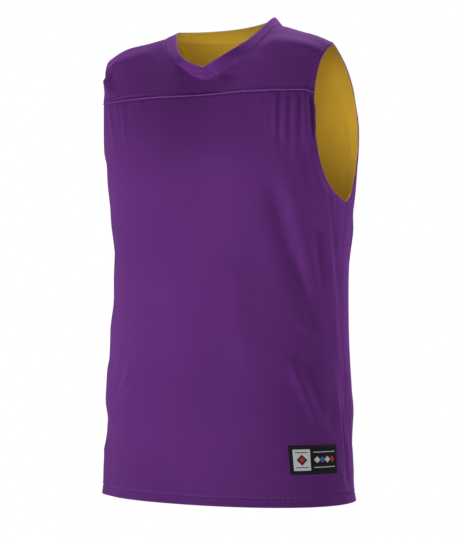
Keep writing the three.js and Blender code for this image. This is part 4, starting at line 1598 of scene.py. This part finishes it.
PURPLE_KNIT = knit_material(
    "purple_knit",
    {
        "deep": (0.098, 0.022, 0.152, 1),
        "main": (0.116, 0.028, 0.172, 1),
        # Painted shade in the gaps between the loops
        "gap": (0.060, 0.012, 0.100, 1),
        # Paler colour for a painted highlight along folded and sewn edges
        "worn": (0.190, 0.060, 0.270, 1),
        "sheen": (0.52, 0.16, 0.74, 1),
    },
    0.0009,
    0.0007,
    {"roughness": 0.72, "specular": 0.04, "sheen": 0.24, "gap_shade": 0.45},
    0.35,
)
GOLD_KNIT = knit_material(
    "gold_knit",
    {
        "deep": (0.470, 0.290, 0.028, 1),
        "main": (0.520, 0.325, 0.034, 1),
        # Painted shade in the gaps between the loops
        "gap": (0.300, 0.165, 0.009, 1),
        # Paler colour for a painted highlight along folded and sewn edges
        "worn": (0.620, 0.400, 0.050, 1),
        "sheen": (1.0, 0.80, 0.40, 1),
    },
    0.0016,
    0.0013,
    {"roughness": 0.6, "specular": 0.15, "sheen": 0.05, "gap_shade": 0.8},
    0.6,
)
PURPLE_THREAD = thread_material("purple_thread", (0.125, 0.032, 0.185, 1), (0.20, 0.07, 0.29, 1))
GOLD_THREAD = thread_material("gold_thread", (0.52, 0.28, 0.03, 1), (0.66, 0.40, 0.08, 1))
BLACK_THREAD = thread_material("black_thread", (0.012, 0.012, 0.013, 1), (0.03, 0.03, 0.032, 1))
LABEL_WEAVE = label_material()


def dress(piece, material, node=None):
    """Gives a piece its finish and its CAD body, and hides the CAD part that it stands for."""
    piece.data.materials.clear()
    piece.data.materials.append(material)
    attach(piece, "root")
    if node:
        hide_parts(node)


front = outer_panel("front_cloth", "front", FRONT, FRONT_COLUMNS, FRONT_ROWS)
yoke = outer_panel("yoke_cloth", "yoke", YOKE, YOKE_COLUMNS, YOKE_ROWS)
back = outer_panel("back_cloth", "back", BACK, BACK_COLUMNS, BACK_ROWS)
band = collar_band()
inner_front = lining_front()
inner_back = lining_back()
inner_band = collar_lining()
label = hem_label()
for piece, material, slot, node in [
    (front, PURPLE_KNIT, "purple_cloth", "front_panel"),
    (yoke, PURPLE_KNIT, "purple_cloth", "front_yoke"),
    (back, PURPLE_KNIT, "purple_cloth", "back_panel"),
    (band, PURPLE_KNIT, "purple_cloth", "neck_band"),
    (inner_front, GOLD_KNIT, "gold_lining", "lining_front"),
    (inner_back, GOLD_KNIT, "gold_lining", "lining_back"),
    (inner_band, GOLD_KNIT, "gold_lining", "lining_neck_band"),
    (label, LABEL_WEAVE, "woven_label", "hem_label"),
]:
    dress(piece, material, node)

armhole_thread = sew("armhole_stitching", armhole_rows(False))
armhole_inner = sew("armhole_lining_stitching", armhole_rows(True))
hem_thread = sew("hem_stitching", hem_rows())
yoke_thread = sew("yoke_stitching", yoke_rows())
collar_thread = sew("collar_stitching", collar_rows(False))
collar_inner = sew("collar_lining_stitching", collar_rows(True))
label_thread = sew("label_stitching", label_rows())
for piece, material, slot in [
    (armhole_thread, PURPLE_THREAD, "purple_cloth"),
    (armhole_inner, GOLD_THREAD, "gold_lining"),
    (hem_thread, PURPLE_THREAD, "purple_cloth"),
    (yoke_thread, PURPLE_THREAD, "purple_cloth"),
    (collar_thread, PURPLE_THREAD, "purple_cloth"),
    (collar_inner, GOLD_THREAD, "gold_lining"),
    (label_thread, BLACK_THREAD, "woven_label"),
]:
    dress(piece, material)


# Studio
FLOOR_DROP = 0.8
FLOOR_RADIUS = 1.0


def pale_floor():
    """A pale round floor well below the hem, where a wearer would stand."""
    bpy.ops.mesh.primitive_cylinder_add(
        vertices=96, radius=FLOOR_RADIUS, depth=0.02, location=(0, 0, HEM_Z * MM - FLOOR_DROP - 0.01)
    )
    floor = bpy.context.object
    floor.name = "floor"
    bpy.ops.object.transform_apply(location=True, rotation=True, scale=True)
    material, _, shader = new_material("pale_floor")
    shader.inputs["Base Color"].default_value = (0.82, 0.82, 0.82, 1)
    shader.inputs["Roughness"].default_value = 0.9
    floor.data.materials.append(material)


def toward(aim, azimuth, elevation, distance):
    """A place seen from an aim: the azimuth turns from the front to the wearer's left."""
    turn, rise = math.radians(azimuth), math.radians(elevation)
    flat = math.cos(rise) * distance
    return aim + Vector((math.sin(turn) * flat, -math.cos(turn) * flat, math.sin(rise) * distance))


def soft_light(name, place, aim, size, power):
    """A rectangular softbox that points at a place."""
    data = bpy.data.lights.new(name, "AREA")
    data.shape = "RECTANGLE"
    data.size, data.size_y = size
    data.energy = power
    lamp = bpy.data.objects.new(name, data)
    bpy.context.scene.collection.objects.link(lamp)
    lamp.location = place
    lamp.rotation_euler = (Vector(aim) - Vector(place)).to_track_quat("-Z", "Y").to_euler()
    return lamp


def white_studio():
    """A white surround, brighter to the eye than as a light, so the backdrop stays clean."""
    world = bpy.data.worlds.new("studio")
    world.use_nodes = True
    bpy.context.scene.world = world
    tree = world.node_tree
    tree.nodes.clear()
    output = tree.nodes.new("ShaderNodeOutputWorld")
    path = tree.nodes.new("ShaderNodeLightPath")
    fill = tree.nodes.new("ShaderNodeBackground")
    fill.inputs["Strength"].default_value = 0.19
    seen = tree.nodes.new("ShaderNodeBackground")
    seen.inputs["Strength"].default_value = 1.0
    for background in (fill, seen):
        background.inputs["Color"].default_value = (1, 1, 1, 1)
    mix = tree.nodes.new("ShaderNodeMixShader")
    tree.links.new(path.outputs["Is Camera Ray"], mix.inputs["Fac"])
    tree.links.new(fill.outputs[0], mix.inputs[1])
    tree.links.new(seen.outputs[0], mix.inputs[2])
    tree.links.new(mix.outputs[0], output.inputs["Surface"])


CAMERA_AZIMUTH = 28
CAMERA_ELEVATION = -1.5
CAMERA_DISTANCE = 2.5
CAMERA_AIM = Vector((0, 0.026, -0.350))
CAMERA_LENS = 107.87
SENSOR = 36


def photo_camera():
    """The camera at the photograph's angle and distance."""
    place = toward(CAMERA_AIM, CAMERA_AZIMUTH, CAMERA_ELEVATION, CAMERA_DISTANCE)
    data = bpy.data.cameras.new("camera")
    data.lens = CAMERA_LENS
    data.sensor_width = SENSOR
    camera = bpy.data.objects.new("camera", data)
    bpy.context.scene.collection.objects.link(camera)
    camera.location = place
    camera.rotation_mode = "QUATERNION"
    camera.rotation_quaternion = (CAMERA_AIM - place).to_track_quat("-Z", "Y")
    bpy.context.scene.camera = camera


pale_floor()
white_studio()
photo_camera()
CHEST = Vector((0, -0.02, -0.35))
WAIST_SIDE = Vector((0, -0.02, -0.40))
SHOULDERS = Vector((0, 0, 0))
# Softboxes: name, aim, azimuth, elevation, distance, size, power
for name, aim, azimuth, elevation, distance, size, power in [
    ("front_softbox", CHEST, -26, -38, 6.0, (2.6, 2.6), 440),
    ("left_softbox", CHEST, -105, 0, 2.2, (0.6, 1.6), 7),
    ("arm_softbox", CHEST, 60, 5, 2.4, (0.5, 1.4), 6),
    ("right_softbox", WAIST_SIDE, 112, 8, 0.8, (0.3, 0.5), 2.9),
    ("shoulder_softbox", SHOULDERS, 172, 67, 1.8, (1.2, 0.7), 60),
]:
    soft_light(name, toward(aim, azimuth, elevation, distance), aim, size, power)
# Small lamps inside the armhole and the neck, which the camera doesn't see
inner_lamp = soft_light("inside_softbox", (0.145, 0.01, -0.135), (0.175, 0.1, -0.135), (0.05, 0.12), 0.085)
neck_lamp = soft_light("neck_softbox", (-0.012, -0.012, -0.015), (-0.02, 0.06, 0.012), (0.06, 0.02), 0.05)
for lamp in (inner_lamp, neck_lamp):
    lamp.visible_camera = False
bpy.context.scene.view_settings.view_transform = "Standard"
